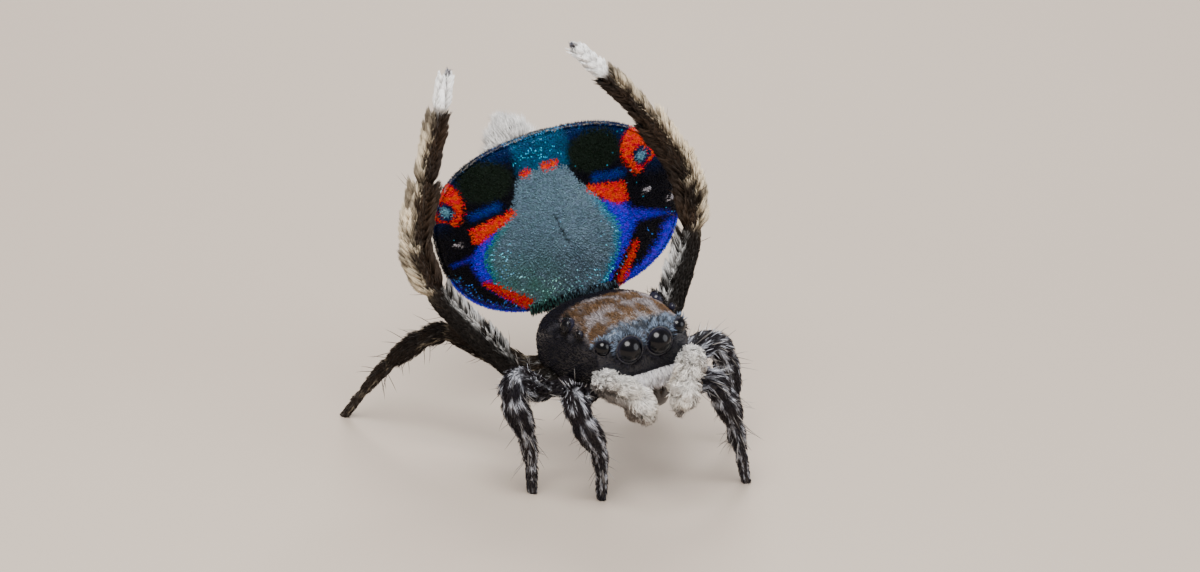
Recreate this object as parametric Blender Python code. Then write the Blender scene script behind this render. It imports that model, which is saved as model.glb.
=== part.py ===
"""A male peacock spider in full display, at life size: body, raised fan, eight eyes, palps and legs.

Sizes are in millimetres, and each finished mesh is scaled to metres. The spider faces -Y, its left
side is +X and the floor is z = 0. Run it with blender --background --python part.py.
"""

import math
import random

import bmesh
import bpy
from mathutils import Matrix, Vector

MM = 0.001
WELD = 0.0005
SHARP_DEG = 40.0

# The clearance between neighbouring solids, finer than usual because the animal is under 6 mm tall.
GAP = 0.05

# The middle of the footprint, taken off every point so that the origin is under the middle.
FOOTPRINT_X = -0.15
FOOTPRINT_Y = -0.65

# Cephalothorax, in its own frame: the face at -y, the left side at +x, the big eyes at z = 0.
HEAD_LENGTH = 1.95
HEAD_HALF_WIDTH = 0.78
HEAD_TOP = 0.42
STERNUM_DEPTH = 0.74
FACE_Y = -0.5 * HEAD_LENGTH
BIG_EYE_CENTRE = Vector((0.0, -2.15, 2.12))
HEAD_PITCH_DEG = -8.0
HEAD_ROLL_DEG = -12.0

# Each station: share of the length from the face, then shares of half width, top and depth.
HEAD_STATIONS = (
    (0.000, 0.70, 0.52, 0.50),
    (0.025, 0.79, 0.69, 0.60),
    (0.160, 0.83, 0.86, 0.78),
    (0.420, 0.91, 0.88, 0.97),
    (0.600, 0.98, 0.72, 1.00),
    (0.780, 0.97, 0.54, 0.98),
    (0.930, 0.78, 0.22, 0.88),
    (1.000, 0.44, -0.40, 0.74),
)
HEAD_SQUARENESS = 2.6
HEAD_SIDES = 24

# Eyes of one side: radius, then the centre beside the mid-plane, behind the face and above z = 0.
EYES = {
    "front_middle": (0.178, 0.196, 0.065, 0.000),
    "front_side": (0.108, 0.500, 0.110, 0.085),
    "rear_small": (0.050, 0.625, 0.440, 0.195),
    "rear_side": (0.098, 0.590, 0.810, 0.200),
}
EYE_GAP = 0.03
BIG_EYE_SEGMENTS = 16
SMALL_EYE_SEGMENTS = 10

# Legs: the coat's radius at the start, middle and end of each segment, from coxa to tarsus.
WALKING_RADII = (
    (0.130, 0.140, 0.130),
    (0.140, 0.190, 0.160),
    (0.160, 0.180, 0.165),
    (0.165, 0.180, 0.135),
    (0.130, 0.125, 0.105),
    (0.105, 0.105, 0.085),
)
HIND_RADII = (
    (0.130, 0.140, 0.130),
    (0.140, 0.175, 0.140),
    (0.140, 0.155, 0.140),
    (0.140, 0.150, 0.115),
    (0.110, 0.105, 0.090),
    (0.090, 0.095, 0.085),
)
RAISED_RADII = (
    (0.130, 0.140, 0.130),
    (0.140, 0.165, 0.145),
    (0.145, 0.160, 0.155),
    (0.155, 0.160, 0.135),
    (0.130, 0.120, 0.095),
    (0.095, 0.110, 0.060),
)
LEG_FILLET = 0.30
CORNER_SHARE = 0.48
CORNER_STEPS = 4
TUBE_RESOLUTION = 3
SEGMENT_STEP = 0.15
LOOK_AHEAD = 0.02
COXA_DEPTH = -0.50
COXA_SPREAD = 0.36

# For each leg: the coxa's place along the body, the radii, then hip, knee, patella end, tibia end,
# metatarsus end and tip in space.
LEGS = {
    "leg_r1": (-0.42, WALKING_RADII, (
        (-0.60, -1.84, 1.26), (-0.87, -2.12, 1.54), (-0.80, -2.28, 1.28),
        (-0.46, -2.16, 0.84), (-0.28, -2.00, 0.42), (-0.16, -1.86, -0.06))),
    "leg_r2": (-0.10, WALKING_RADII, (
        (-0.82, -1.38, 1.22), (-1.46, -1.70, 1.62), (-1.50, -1.80, 1.40),
        (-1.22, -1.74, 0.90), (-1.04, -1.62, 0.44), (-0.92, -1.52, -0.06))),
    "leg_r3": (0.22, RAISED_RADII, (
        (-0.84, -0.92, 1.14), (-2.04, -0.52, 2.24), (-2.33, -0.42, 2.84),
        (-2.25, -0.36, 3.62), (-2.15, -0.30, 4.50), (-2.07, -0.28, 5.00))),
    "leg_r4": (0.54, HIND_RADII, (
        (-0.74, -0.56, 1.22), (-1.52, 0.00, 1.52), (-1.74, 0.20, 1.36),
        (-2.00, 0.50, 0.94), (-2.18, 0.80, 0.42), (-2.30, 1.06, -0.06))),
    "leg_l1": (-0.42, WALKING_RADII, (
        (0.58, -1.84, 1.36), (0.96, -2.08, 1.62), (1.16, -2.06, 1.38),
        (1.46, -1.94, 0.94), (1.66, -1.84, 0.46), (1.86, -1.74, -0.06))),
    "leg_l2": (-0.10, WALKING_RADII, (
        (0.84, -1.30, 1.46), (1.52, -1.06, 1.62), (1.74, -0.98, 1.36),
        (2.00, -0.80, 0.74), (2.12, -0.70, 0.38), (2.22, -0.62, -0.06))),
    "leg_l3": (0.22, RAISED_RADII, (
        (0.84, -0.98, 1.56), (1.25, -0.72, 2.92), (1.08, -0.70, 3.66),
        (0.47, -0.68, 4.42), (-0.19, -0.70, 5.03), (-0.70, -0.72, 5.44))),
    "leg_l4": (0.54, HIND_RADII, (
        (0.76, -0.52, 1.50), (1.30, -0.02, 1.74), (1.44, 0.18, 1.52),
        (1.62, 0.56, 0.98), (1.74, 0.88, 0.44), (1.84, 1.18, -0.06))),
}

# Palps and chelicerae of the left side, in the head's frame; the right side mirrors them.
PALP_JOINTS = (
    (0.36, -0.66, -0.46), (0.52, -0.80, -0.40), (0.58, -0.96, -0.31),
    (0.50, -1.12, -0.36), (0.36, -1.24, -0.46), (0.21, -1.28, -0.80),
)
PALP_RADII = (
    (0.120, 0.130, 0.140),
    (0.140, 0.150, 0.160),
    (0.160, 0.170, 0.170),
    (0.170, 0.170, 0.170),
    (0.170, 0.180, 0.075),
)
CHELICERA_JOINTS = ((0.165, -0.76, -0.36), (0.160, -0.80, -0.60), (0.150, -0.84, -0.86))
CHELICERA_RADII = ((0.140, 0.150, 0.150), (0.150, 0.130, 0.090))

# Fan: centre, facing and lean in space, then half width, reach up and down, sweep and depth.
FAN_CENTRE = Vector((-0.13, 0.10, 2.77))
FAN_TURN_DEG = -13.0
FAN_LEAN_DEG = 20.0
FAN_NOD_DEG = 2.0
FAN_HALF_WIDTH = 1.54
FAN_UP = 1.12
FAN_DOWN = 1.27
FAN_SQUARENESS_UP = 2.3
FAN_SQUARENESS_DOWN = 2.5
FAN_NOTCH = 0.10
FAN_NOTCH_WIDTH = 0.42
FAN_SWEEP_SIDE = 0.25
FAN_SWEEP_END = 0.24
FAN_RIM = 0.16
FAN_FLAP = 0.32
FAN_RIM_SLOPE = 2.5
SAC_CENTRE_Z = -0.05
SAC_HALF_WIDTH = 0.92
SAC_HALF_HEIGHT = 1.20
SAC_DEPTH = 0.90
SAC_FULLNESS = 0.95
FLAP_HINGE_X = 0.96
FAN_SPOKES = 48
FAN_RINGS = 8

# Pedicel: its root in the head's frame, then the bend under the fan and its end inside the sac, in
# the fan's frame.
PEDICEL_RADIUS = 0.12
PEDICEL_HEAD_END = (0.0, 0.84, -0.46)
PEDICEL_BEND = (0.0, 0.62, -1.44)
PEDICEL_SAC_END = (0.0, 0.60, -0.84)

# Spinnerets, in the fan's frame.
SPINNERET_JOINTS = ((-0.24, 0.70, 0.50), (-0.26, 0.90, 0.78), (-0.30, 1.06, 0.98))
SPINNERET_RADII = ((0.290, 0.310, 0.290), (0.290, 0.220, 0.100))

# Brushes of flat, tapered locks. Each row set holds: first and last joint, angles round the limb from
# its outward side, locks in a row, rise over the limb's own radius, run along it, and root width.
RAISED_FEMUR_BRUSH = ((1.35, 1.97, (165, 195), 5, 0.12, 0.22, 0.22),)
RAISED_TIBIA_BRUSH = ((2.06, 3.92, (-30, 20, 160, 205), 8, 0.11, 0.24, 0.24),)
RAISED_FOOT_BRUSH = (
    (4.06, 4.90, (-30, 20, 160, 205), 4, 0.08, 0.22, 0.21),
    (5.05, 5.80, (0, 72, 144, 216, 288), 2, 0.04, 0.18, 0.15),
)
PALP_ARM_BRUSH = ((1.10, 3.97, (10, 82, 154, 226, 298), 4, 0.10, 0.20, 0.20),)
PALP_BULB_BRUSH = ((4.10, 4.90, (0, 60, 120, 180, 240, 300), 2, 0.08, 0.20, 0.19),)
SPINNERET_BRUSH = ((1.00, 1.95, (0, 60, 120, 180, 240, 300), 2, 0.07, 0.24, 0.26),)
LOCK_THICKNESS = 0.045
LOCK_ROOT = 0.5
LOCK_STATIONS = ((0.0, 1.0), (0.35, 0.9), (0.72, 0.5))
LOCK_RISE_POWER = 1.9
LOCK_RUN_POWER = 1.3
LOCK_LOOK_AHEAD = 0.05
LOCK_JITTER = 0.15
LOCK_TURN_DEG = 8.0
SEED = 7

# Base colour, roughness and metallic value of each material.
MATERIALS = {
    "carapace": ((0.045, 0.035, 0.032), 0.55, 0.0),
    "fan_scales": ((0.055, 0.130, 0.210), 0.35, 0.6),
    "leg_coat": ((0.130, 0.110, 0.100), 0.80, 0.0),
    "palp_coat": ((0.720, 0.680, 0.600), 0.85, 0.0),
    "eye": ((0.006, 0.006, 0.010), 0.08, 0.0),
    "jaw": ((0.060, 0.030, 0.020), 0.35, 0.0),
    "belly_coat": ((0.350, 0.320, 0.290), 0.85, 0.0),
}


def head_matrix():
    turn = Matrix.Rotation(math.radians(HEAD_PITCH_DEG), 4, "X")
    roll = Matrix.Rotation(math.radians(HEAD_ROLL_DEG), 4, "Y")
    spin = turn @ roll
    return Matrix.Translation(BIG_EYE_CENTRE - spin @ Vector((0.0, FACE_Y, 0.0))) @ spin


def fan_matrix():
    turn = Matrix.Rotation(math.radians(FAN_TURN_DEG), 4, "Z")
    nod = Matrix.Rotation(math.radians(FAN_NOD_DEG), 4, "X")
    lean = Matrix.Rotation(math.radians(-FAN_LEAN_DEG), 4, "Y")
    return Matrix.Translation(FAN_CENTRE) @ turn @ nod @ lean


def new_object(name, bm):
    """A new object that holds bm, in millimetres."""
    bmesh.ops.recalc_face_normals(bm, faces=bm.faces)
    mesh = bpy.data.meshes.new(name)
    bm.to_mesh(mesh)
    bm.free()
    made = bpy.data.objects.new(name, mesh)
    bpy.context.scene.collection.objects.link(made)
    return made


def tube(name, points, radii):
    """A closed round tube through the points, from a bevelled curve."""
    curve = bpy.data.curves.new(name, "CURVE")
    curve.dimensions = "3D"
    curve.bevel_depth = 1.0
    curve.bevel_resolution = TUBE_RESOLUTION
    curve.use_fill_caps = True
    spline = curve.splines.new("POLY")
    spline.points.add(len(points) - 1)
    for knot, point, radius in zip(spline.points, points, radii):
        knot.co = (*point, 1.0)
        knot.radius = radius
    drawn = bpy.data.objects.new(name, curve)
    bpy.context.scene.collection.objects.link(drawn)
    graph = bpy.context.evaluated_depsgraph_get()
    mesh = bpy.data.meshes.new_from_object(drawn.evaluated_get(graph))
    bpy.data.objects.remove(drawn, do_unlink=True)
    bpy.data.curves.remove(curve)
    bm = bmesh.new()
    bm.from_mesh(mesh)
    bpy.data.meshes.remove(mesh)
    bmesh.ops.remove_doubles(bm, verts=bm.verts, dist=WELD)
    return new_object(name, bm)


class Limb:
    """A path with rounded corners through its joints, and a radius at every distance along it."""

    def __init__(self, joints, radii):
        self.points = [joints[0].copy()]
        marks = [0]
        for before, corner, after in zip(joints, joints[1:], joints[2:]):
            reach = min(LEG_FILLET, CORNER_SHARE * (corner - before).length,
                        CORNER_SHARE * (after - corner).length)
            start = corner + reach * (before - corner).normalized()
            end = corner + reach * (after - corner).normalized()
            for step in range(CORNER_STEPS + 1):
                t = step / CORNER_STEPS
                self.points.append((1 - t) ** 2 * start + 2 * t * (1 - t) * corner + t * t * end)
            marks.append(len(self.points) - 1 - CORNER_STEPS // 2)
        self.points.append(joints[-1].copy())
        marks.append(len(self.points) - 1)
        self.lengths = [0.0]
        for before, after in zip(self.points, self.points[1:]):
            self.lengths.append(self.lengths[-1] + (after - before).length)
        self.joints = [self.lengths[mark] for mark in marks]
        self.radii = radii

    def centre(self, distance):
        """The path's point at a distance from the root, on the path's straight line beyond its ends."""
        i = 0
        while i < len(self.lengths) - 2 and self.lengths[i + 1] < distance:
            i += 1
        share = (distance - self.lengths[i]) / (self.lengths[i + 1] - self.lengths[i])
        return self.points[i] + share * (self.points[i + 1] - self.points[i])

    def radius(self, distance):
        """The radius at a distance: a parabola through each segment's three values."""
        i = 0
        while i < len(self.radii) - 1 and self.joints[i + 1] < distance:
            i += 1
        share = (distance - self.joints[i]) / (self.joints[i + 1] - self.joints[i])
        share = max(0.0, min(1.0, share))
        start, middle, end = self.radii[i]
        return (1 - share) * (1 - 2 * share) * start + 4 * share * (1 - share) * middle \
            + share * (2 * share - 1) * end

    def along(self, joint):
        """The distance of a joint number, whose fraction is the share of the segment after it."""
        i = min(int(joint), len(self.joints) - 2)
        return self.joints[i] + (joint - i) * (self.joints[i + 1] - self.joints[i])

    def direction(self, distance):
        ahead = self.centre(distance + LOOK_AHEAD)
        return (ahead - self.centre(distance - LOOK_AHEAD)).normalized()

    def length(self, name, first=0, last=None):
        """The tube between two joints, half a gap short of each inner one."""
        last = len(self.joints) - 1 if last is None else last
        start = self.joints[first] + (GAP / 2 if first else 0.0)
        end = self.joints[last] - (GAP / 2 if last < len(self.joints) - 1 else 0.0)
        count = max(3, round((end - start) / SEGMENT_STEP))
        distances = [start + (end - start) * i / count for i in range(count + 1)]
        return tube(name, [self.centre(d) for d in distances], [self.radius(d) for d in distances])

    def seat(self, start, end):
        """A cutter round a stretch of the limb, one gap wider than it and one gap longer."""
        distances = (start - GAP, 0.5 * (start + end), end + GAP)
        widest = max(self.radius(start), self.radius(0.5 * (start + end)), self.radius(end)) + GAP
        cutter = tube("seat", [self.centre(d) for d in distances], [widest] * 3)
        cutter.hide_render = True
        cutter.display_type = "WIRE"
        return cutter


def lock(limb, start, angle, outward, reach, run, width):
    """One flat lock that rises from inside the limb, then bends along it to a point."""
    bm = bmesh.new()
    rings = []
    along = limb.direction(start)
    out = (outward - outward.dot(along) * along).normalized()
    normal = math.cos(angle) * out + math.sin(angle) * along.cross(out)
    flat = along.cross(normal)
    root = LOCK_ROOT * limb.radius(start)

    def place(share):
        rise = root + (reach - root) * (1 - (1 - share) ** LOCK_RISE_POWER)
        return limb.centre(start) + run * share ** LOCK_RUN_POWER * along + rise * normal

    for share, size in LOCK_STATIONS:
        centre = place(share)
        across = flat.cross(place(share + LOCK_LOOK_AHEAD) - centre).normalized()
        wide = 0.5 * width * size * across
        thin = 0.5 * LOCK_THICKNESS * size * flat
        rings.append([bm.verts.new(centre + offset) for offset in (wide, thin, -wide, -thin)])
    tip = bm.verts.new(place(1.0))
    bm.faces.new(rings[0])
    for first, second in zip(rings, rings[1:]):
        bridge(bm, first, second)
    for k in range(4):
        bm.faces.new((rings[-1][k], rings[-1][(k + 1) % 4], tip))
    return new_object("lock", bm)


def bristled(core, limb, brush, outward):
    """Joins rows of locks to a limb's length, staggered from row to row and varied a little."""
    draw = random.Random(f"{SEED} {core.name}")
    locks = []
    for first, last, angles, count, rise, run, width in brush:
        begin, end = limb.along(first), limb.along(last) - run
        for row, angle in enumerate(angles):
            for i in range(count):
                share = (i + 0.5 * (row % 2)) / max(1.0, count - 0.5)
                start = begin + share * (end - begin)
                vary = 1 + draw.uniform(-LOCK_JITTER, LOCK_JITTER)
                turn = math.radians(angle + draw.uniform(-LOCK_TURN_DEG, LOCK_TURN_DEG))
                reach = limb.radius(start) + rise * vary
                locks.append(lock(limb, start, turn, outward(limb.centre(start)), reach, run, width))
    boolean(core, locks, "UNION", "MANIFOLD")
    return core


def from_fan(point):
    return point - FAN_CENTRE


def forward(point):
    return Vector((0.0, -1.0, 0.0))


def leg_limb(name):
    """One leg, from its seat in the side of the cephalothorax to its tip."""
    along, radii, joints = LEGS[name]
    side = -1.0 if "_r" in name else 1.0
    seat = head_matrix() @ Vector((side * COXA_SPREAD, along, COXA_DEPTH))
    return Limb([seat] + [Vector(joint) for joint in joints], radii)


def head_limb(joints, radii, side):
    """A limb given in the head's frame for the left side, mirrored for the right."""
    place = head_matrix()
    return Limb([place @ Vector((side * x, y, z)) for x, y, z in joints], radii)


def pedicel_limb():
    start = head_matrix() @ Vector(PEDICEL_HEAD_END)
    bend = fan_matrix() @ Vector(PEDICEL_BEND)
    end = fan_matrix() @ Vector(PEDICEL_SAC_END)
    even = (PEDICEL_RADIUS, PEDICEL_RADIUS, PEDICEL_RADIUS)
    return Limb([start, bend, end], [even, even])


def spinneret_limb():
    return Limb([fan_matrix() @ Vector(joint) for joint in SPINNERET_JOINTS], SPINNERET_RADII)


def signed_power(value, power):
    return math.copysign(abs(value) ** power, value)


def bridge(bm, first, second):
    for k in range(len(first)):
        j = (k + 1) % len(first)
        bm.faces.new((first[k], first[j], second[j], second[k]))


def cap(bm, ring, centre):
    pole = bm.verts.new(centre)
    for k in range(len(ring)):
        bm.faces.new((ring[k], ring[(k + 1) % len(ring)], pole))


def head_section(share, width, top, depth):
    """One cross-section of the cephalothorax, a squarish oval."""
    high = top * HEAD_TOP
    low = -depth * STERNUM_DEPTH
    points = []
    for k in range(HEAD_SIDES):
        angle = 2 * math.pi * k / HEAD_SIDES
        across = signed_power(math.cos(angle), 2 / HEAD_SQUARENESS) * width * HEAD_HALF_WIDTH
        rise = 0.5 * (high + low) + signed_power(math.sin(angle), 2 / HEAD_SQUARENESS) * 0.5 * (high - low)
        points.append(Vector((across, FACE_Y + share * HEAD_LENGTH, rise)))
    return points


def cephalothorax():
    place = head_matrix()
    bm = bmesh.new()
    rings = []
    for station in HEAD_STATIONS:
        rings.append([bm.verts.new(place @ point) for point in head_section(*station)])
    for first, second in zip(rings, rings[1:]):
        bridge(bm, first, second)
    for ring in (rings[0], rings[-1]):
        cap(bm, ring, sum((vert.co for vert in ring), Vector()) / len(ring))
    return new_object("cephalothorax", bm)


def eye_ball(name, kind, side, extra=0.0):
    radius, beside, behind, above = EYES[kind]
    bm = bmesh.new()
    segments = BIG_EYE_SEGMENTS if kind == "front_middle" else SMALL_EYE_SEGMENTS
    bmesh.ops.create_uvsphere(bm, u_segments=segments, v_segments=segments // 2, radius=radius + extra)
    centre = head_matrix() @ Vector((side * beside, FACE_Y + behind, above))
    bmesh.ops.translate(bm, verts=bm.verts, vec=centre)
    return new_object(name, bm)


def fan_outline(angle):
    """The fan's outline at an angle from its left edge, in its own plane."""
    upper = math.sin(angle) > 0
    power = 2 / (FAN_SQUARENESS_UP if upper else FAN_SQUARENESS_DOWN)
    x = signed_power(math.cos(angle), power) * FAN_HALF_WIDTH
    reach = FAN_UP if upper else FAN_DOWN - FAN_NOTCH * math.exp(-((x / FAN_NOTCH_WIDTH) ** 2))
    return x, signed_power(math.sin(angle), power) * reach


def fan_front(x, z):
    """How far the fan's face lies behind its middle, because the sides and the ends sweep back."""
    reach = FAN_UP if z > 0 else FAN_DOWN
    return FAN_SWEEP_SIDE * (x / FAN_HALF_WIDTH) ** 2 + FAN_SWEEP_END * (z / reach) ** 2


def fan_thickness(x, z, share):
    """Thin at the rim, thicker over the flaps and deepest over the sac behind the middle."""
    plate = FAN_RIM + (FAN_FLAP - FAN_RIM) * min(1.0, FAN_RIM_SLOPE * (1 - share))
    inside = 1 - (x / SAC_HALF_WIDTH) ** 2 - ((z - SAC_CENTRE_Z) / SAC_HALF_HEIGHT) ** 2
    return plate + SAC_DEPTH * max(0.0, inside) ** SAC_FULLNESS


def fan_body(name, cuts):
    """The abdomen and its flaps between cutting planes at (x, direction) in the fan's frame.

    The front and the back have the same triangles, so the thin rim can't cross itself.
    """
    place = fan_matrix()
    bm = bmesh.new()
    front, back = [], []
    for r in range(1, FAN_RINGS + 1):
        share = math.sin(0.5 * math.pi * r / FAN_RINGS)
        near, far = [], []
        for k in range(FAN_SPOKES):
            x, z = fan_outline(2 * math.pi * k / FAN_SPOKES)
            x, z = share * x, share * z
            y = fan_front(x, z)
            near.append(bm.verts.new((x, y, z)))
            far.append(bm.verts.new((x, y + fan_thickness(x, z, share), z)))
        front.append(near)
        back.append(far)
    for layer in (front, back):
        for first, second in zip(layer, layer[1:]):
            for k in range(FAN_SPOKES):
                j = (k + 1) % FAN_SPOKES
                bm.faces.new((first[k], first[j], second[j]))
                bm.faces.new((first[k], second[j], second[k]))
    cap(bm, front[0], (0.0, 0.0, 0.0))
    cap(bm, back[0], (0.0, fan_thickness(0.0, 0.0, 0.0), 0.0))
    bridge(bm, front[-1], back[-1])
    bmesh.ops.recalc_face_normals(bm, faces=bm.faces)
    for x, direction in cuts:
        cut_off(bm, Vector((x, 0.0, 0.0)), Vector((direction, 0.0, 0.0)))
    bmesh.ops.transform(bm, matrix=place, verts=bm.verts)
    return new_object(name, bm)


def cut_off(bm, point, normal):
    """Removes what lies beyond a plane and closes the cut."""
    parts = bm.verts[:] + bm.edges[:] + bm.faces[:]
    cut = bmesh.ops.bisect_plane(bm, geom=parts, plane_co=point, plane_no=normal, clear_outer=True)
    rim = [piece for piece in cut["geom_cut"] if isinstance(piece, bmesh.types.BMEdge)]
    bmesh.ops.triangle_fill(bm, use_beauty=True, edges=rim)


def boolean(target, others, operation, solver="EXACT"):
    """Cuts the others from the target, or joins them to it, and removes them."""
    group = bpy.data.collections.new("operands")
    for other in others:
        group.objects.link(other)
    modifier = target.modifiers.new("boolean", "BOOLEAN")
    modifier.operand_type = "COLLECTION"
    modifier.operation = operation
    modifier.solver = solver
    modifier.collection = group
    graph = bpy.context.evaluated_depsgraph_get()
    result = bpy.data.meshes.new_from_object(target.evaluated_get(graph))
    target.modifiers.remove(modifier)
    target.data = result
    for other in others:
        bpy.data.objects.remove(other, do_unlink=True)
    bpy.data.collections.remove(group)


def closed_surfaces(bm):
    """The vertices of each separate surface in bm."""
    left = set(bm.verts)
    surfaces = []
    while left:
        stack = [left.pop()]
        surface = set(stack)
        while stack:
            for edge in stack.pop().link_edges:
                for vert in edge.verts:
                    if vert in left:
                        left.remove(vert)
                        surface.add(vert)
                        stack.append(vert)
        surfaces.append(surface)
    return surfaces


def store(obj, group, slot):
    """Finishes an object: its largest surface, its real size and place, its material and shading."""
    bm = bmesh.new()
    bm.from_mesh(obj.data)
    surfaces = sorted(closed_surfaces(bm), key=len)
    for surface in surfaces[:-1]:
        bmesh.ops.delete(bm, geom=list(surface), context="VERTS")
    bmesh.ops.triangulate(bm, faces=bm.faces)
    bmesh.ops.translate(bm, verts=bm.verts, vec=(-FOOTPRINT_X, -FOOTPRINT_Y, 0.0))
    bmesh.ops.scale(bm, verts=bm.verts, vec=(MM, MM, MM))
    bm.to_mesh(obj.data)
    bm.free()
    obj.data.materials.clear()
    obj.data.materials.append(bpy.data.materials[slot])
    obj.data.shade_smooth()
    obj.data.set_sharp_from_angle(angle=math.radians(SHARP_DEG))
    bpy.context.scene.collection.objects.unlink(obj)
    group.objects.link(obj)


def make_materials():
    for name, (colour, roughness, metallic) in MATERIALS.items():
        made = bpy.data.materials.new(name)
        made.use_nodes = True
        shader = made.node_tree.nodes["Principled BSDF"]
        shader.inputs["Base Color"].default_value = (*colour, 1.0)
        shader.inputs["Roughness"].default_value = roughness
        shader.inputs["Metallic"].default_value = metallic


def build_legs(group):
    for name in LEGS:
        limb = leg_limb(name)
        femur = limb.length(name + "_femur", 0, 2)
        tibia = limb.length(name + "_tibia", 2, 4)
        foot = limb.length(name + "_foot", 4, 6)
        if name.endswith("3"):
            bristled(femur, limb, RAISED_FEMUR_BRUSH, from_fan)
            bristled(tibia, limb, RAISED_TIBIA_BRUSH, from_fan)
            bristled(foot, limb, RAISED_FOOT_BRUSH, from_fan)
        else:
            bm = bmesh.new()
            bm.from_mesh(foot.data)
            cut_off(bm, Vector(), Vector((0.0, 0.0, -1.0)))
            bm.to_mesh(foot.data)
            bm.free()
        for length in (femur, tibia, foot):
            store(length, group, "leg_coat")


def build():
    for old in list(bpy.data.objects):
        bpy.data.objects.remove(old, do_unlink=True)
    make_materials()
    spider = bpy.data.collections.new("peacock_spider")
    bpy.context.scene.collection.children.link(spider)

    head = cephalothorax()
    cutters = []
    for name in LEGS:
        limb = leg_limb(name)
        cutters.append(limb.seat(0.0, limb.joints[1]))
    pedicel = pedicel_limb()
    cutters.append(pedicel.seat(0.0, pedicel.along(0.5)))
    for side_name, side in (("right", -1.0), ("left", 1.0)):
        palp = head_limb(PALP_JOINTS, PALP_RADII, side)
        jaw = head_limb(CHELICERA_JOINTS, CHELICERA_RADII, side)
        cutters.append(palp.seat(0.0, palp.joints[1]))
        cutters.append(jaw.seat(0.0, jaw.joints[1]))
        for kind in EYES:
            cutters.append(eye_ball("eye_socket", kind, side, EYE_GAP))
            store(eye_ball(f"eye_{kind}_{side_name}", kind, side), spider, "eye")
        arm = palp.length("palp_arm_" + side_name, 0, 4)
        bulb = palp.length("palp_bulb_" + side_name, 4, 5)
        store(bristled(arm, palp, PALP_ARM_BRUSH, forward), spider, "palp_coat")
        store(bristled(bulb, palp, PALP_BULB_BRUSH, forward), spider, "palp_coat")
        store(jaw.length("chelicera_" + side_name), spider, "jaw")
    boolean(head, cutters, "DIFFERENCE")
    store(head, spider, "carapace")
    build_legs(spider)

    inner = FLAP_HINGE_X - 0.5 * GAP
    outer = FLAP_HINGE_X + 0.5 * GAP
    spinnerets = spinneret_limb()
    abdomen = fan_body("abdomen", ((inner, 1.0), (-inner, -1.0)))
    seats = [pedicel.seat(pedicel.along(1.5), pedicel.joints[2]), spinnerets.seat(0.0, spinnerets.joints[1])]
    boolean(abdomen, seats, "DIFFERENCE")
    store(abdomen, spider, "fan_scales")
    store(fan_body("fan_flap_left", ((outer, -1.0),)), spider, "fan_scales")
    store(fan_body("fan_flap_right", ((-outer, 1.0),)), spider, "fan_scales")
    store(pedicel.length("pedicel"), spider, "jaw")
    tail = bristled(spinnerets.length("spinnerets"), spinnerets, SPINNERET_BRUSH, forward)
    store(tail, spider, "belly_coat")


build()
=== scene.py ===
"""Looks of the displaying male peacock spider: skins, coats of tufts and scales, eyes, claws and light.

Sizes are in millimetres in the animal's own frame (it faces -Y, its left side is +X, the floor is
z = 0) and become metres when a mesh is stored.
"""

import math

import bpy
import numpy as np
from mathutils import Matrix, Vector


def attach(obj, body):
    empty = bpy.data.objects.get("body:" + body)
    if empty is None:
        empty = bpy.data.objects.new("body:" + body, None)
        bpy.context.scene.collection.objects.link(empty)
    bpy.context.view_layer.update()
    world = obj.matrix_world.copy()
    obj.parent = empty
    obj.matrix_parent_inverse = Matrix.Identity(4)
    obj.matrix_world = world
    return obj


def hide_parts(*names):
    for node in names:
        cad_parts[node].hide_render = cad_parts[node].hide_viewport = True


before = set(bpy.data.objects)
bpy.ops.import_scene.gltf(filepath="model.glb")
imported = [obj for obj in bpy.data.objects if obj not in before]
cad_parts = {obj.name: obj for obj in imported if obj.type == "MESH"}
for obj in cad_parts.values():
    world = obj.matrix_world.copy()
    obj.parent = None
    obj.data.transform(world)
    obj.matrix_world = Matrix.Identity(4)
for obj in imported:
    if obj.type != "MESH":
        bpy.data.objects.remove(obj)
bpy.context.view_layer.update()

MM = 0.001
FOOTPRINT = np.array((-0.15, -0.65, 0.0))
rng = np.random.default_rng(11)

# The body's sizes, the same as in the construction.
HEAD_LENGTH = 1.95
HEAD_HALF_WIDTH = 0.78
HEAD_TOP = 0.42
STERNUM_DEPTH = 0.74
FACE_Y = -0.5 * HEAD_LENGTH
BIG_EYE_CENTRE = Vector((0.0, -2.15, 2.12))
HEAD_PITCH_DEG = -8.0
HEAD_ROLL_DEG = -12.0
HEAD_STATIONS = (
    (0.000, 0.70, 0.52, 0.50),
    (0.025, 0.79, 0.69, 0.60),
    (0.160, 0.83, 0.86, 0.78),
    (0.420, 0.91, 0.88, 0.97),
    (0.600, 0.98, 0.72, 1.00),
    (0.780, 0.97, 0.54, 0.98),
    (0.930, 0.78, 0.22, 0.88),
    (1.000, 0.44, -0.40, 0.74),
)
HEAD_SQUARENESS = 2.6
EYES = {
    "front_middle": (0.178, 0.196, 0.065, 0.000),
    "front_side": (0.108, 0.500, 0.110, 0.085),
    "rear_small": (0.050, 0.625, 0.440, 0.195),
    "rear_side": (0.098, 0.590, 0.810, 0.200),
}
WALKING_RADII = (
    (0.130, 0.140, 0.130),
    (0.140, 0.190, 0.160),
    (0.160, 0.180, 0.165),
    (0.165, 0.180, 0.135),
    (0.130, 0.125, 0.105),
    (0.105, 0.105, 0.085),
)
HIND_RADII = (
    (0.130, 0.140, 0.130),
    (0.140, 0.175, 0.140),
    (0.140, 0.155, 0.140),
    (0.140, 0.150, 0.115),
    (0.110, 0.105, 0.090),
    (0.090, 0.095, 0.085),
)
RAISED_RADII = (
    (0.130, 0.140, 0.130),
    (0.140, 0.165, 0.145),
    (0.145, 0.160, 0.155),
    (0.155, 0.160, 0.135),
    (0.130, 0.120, 0.095),
    (0.095, 0.110, 0.060),
)
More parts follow.
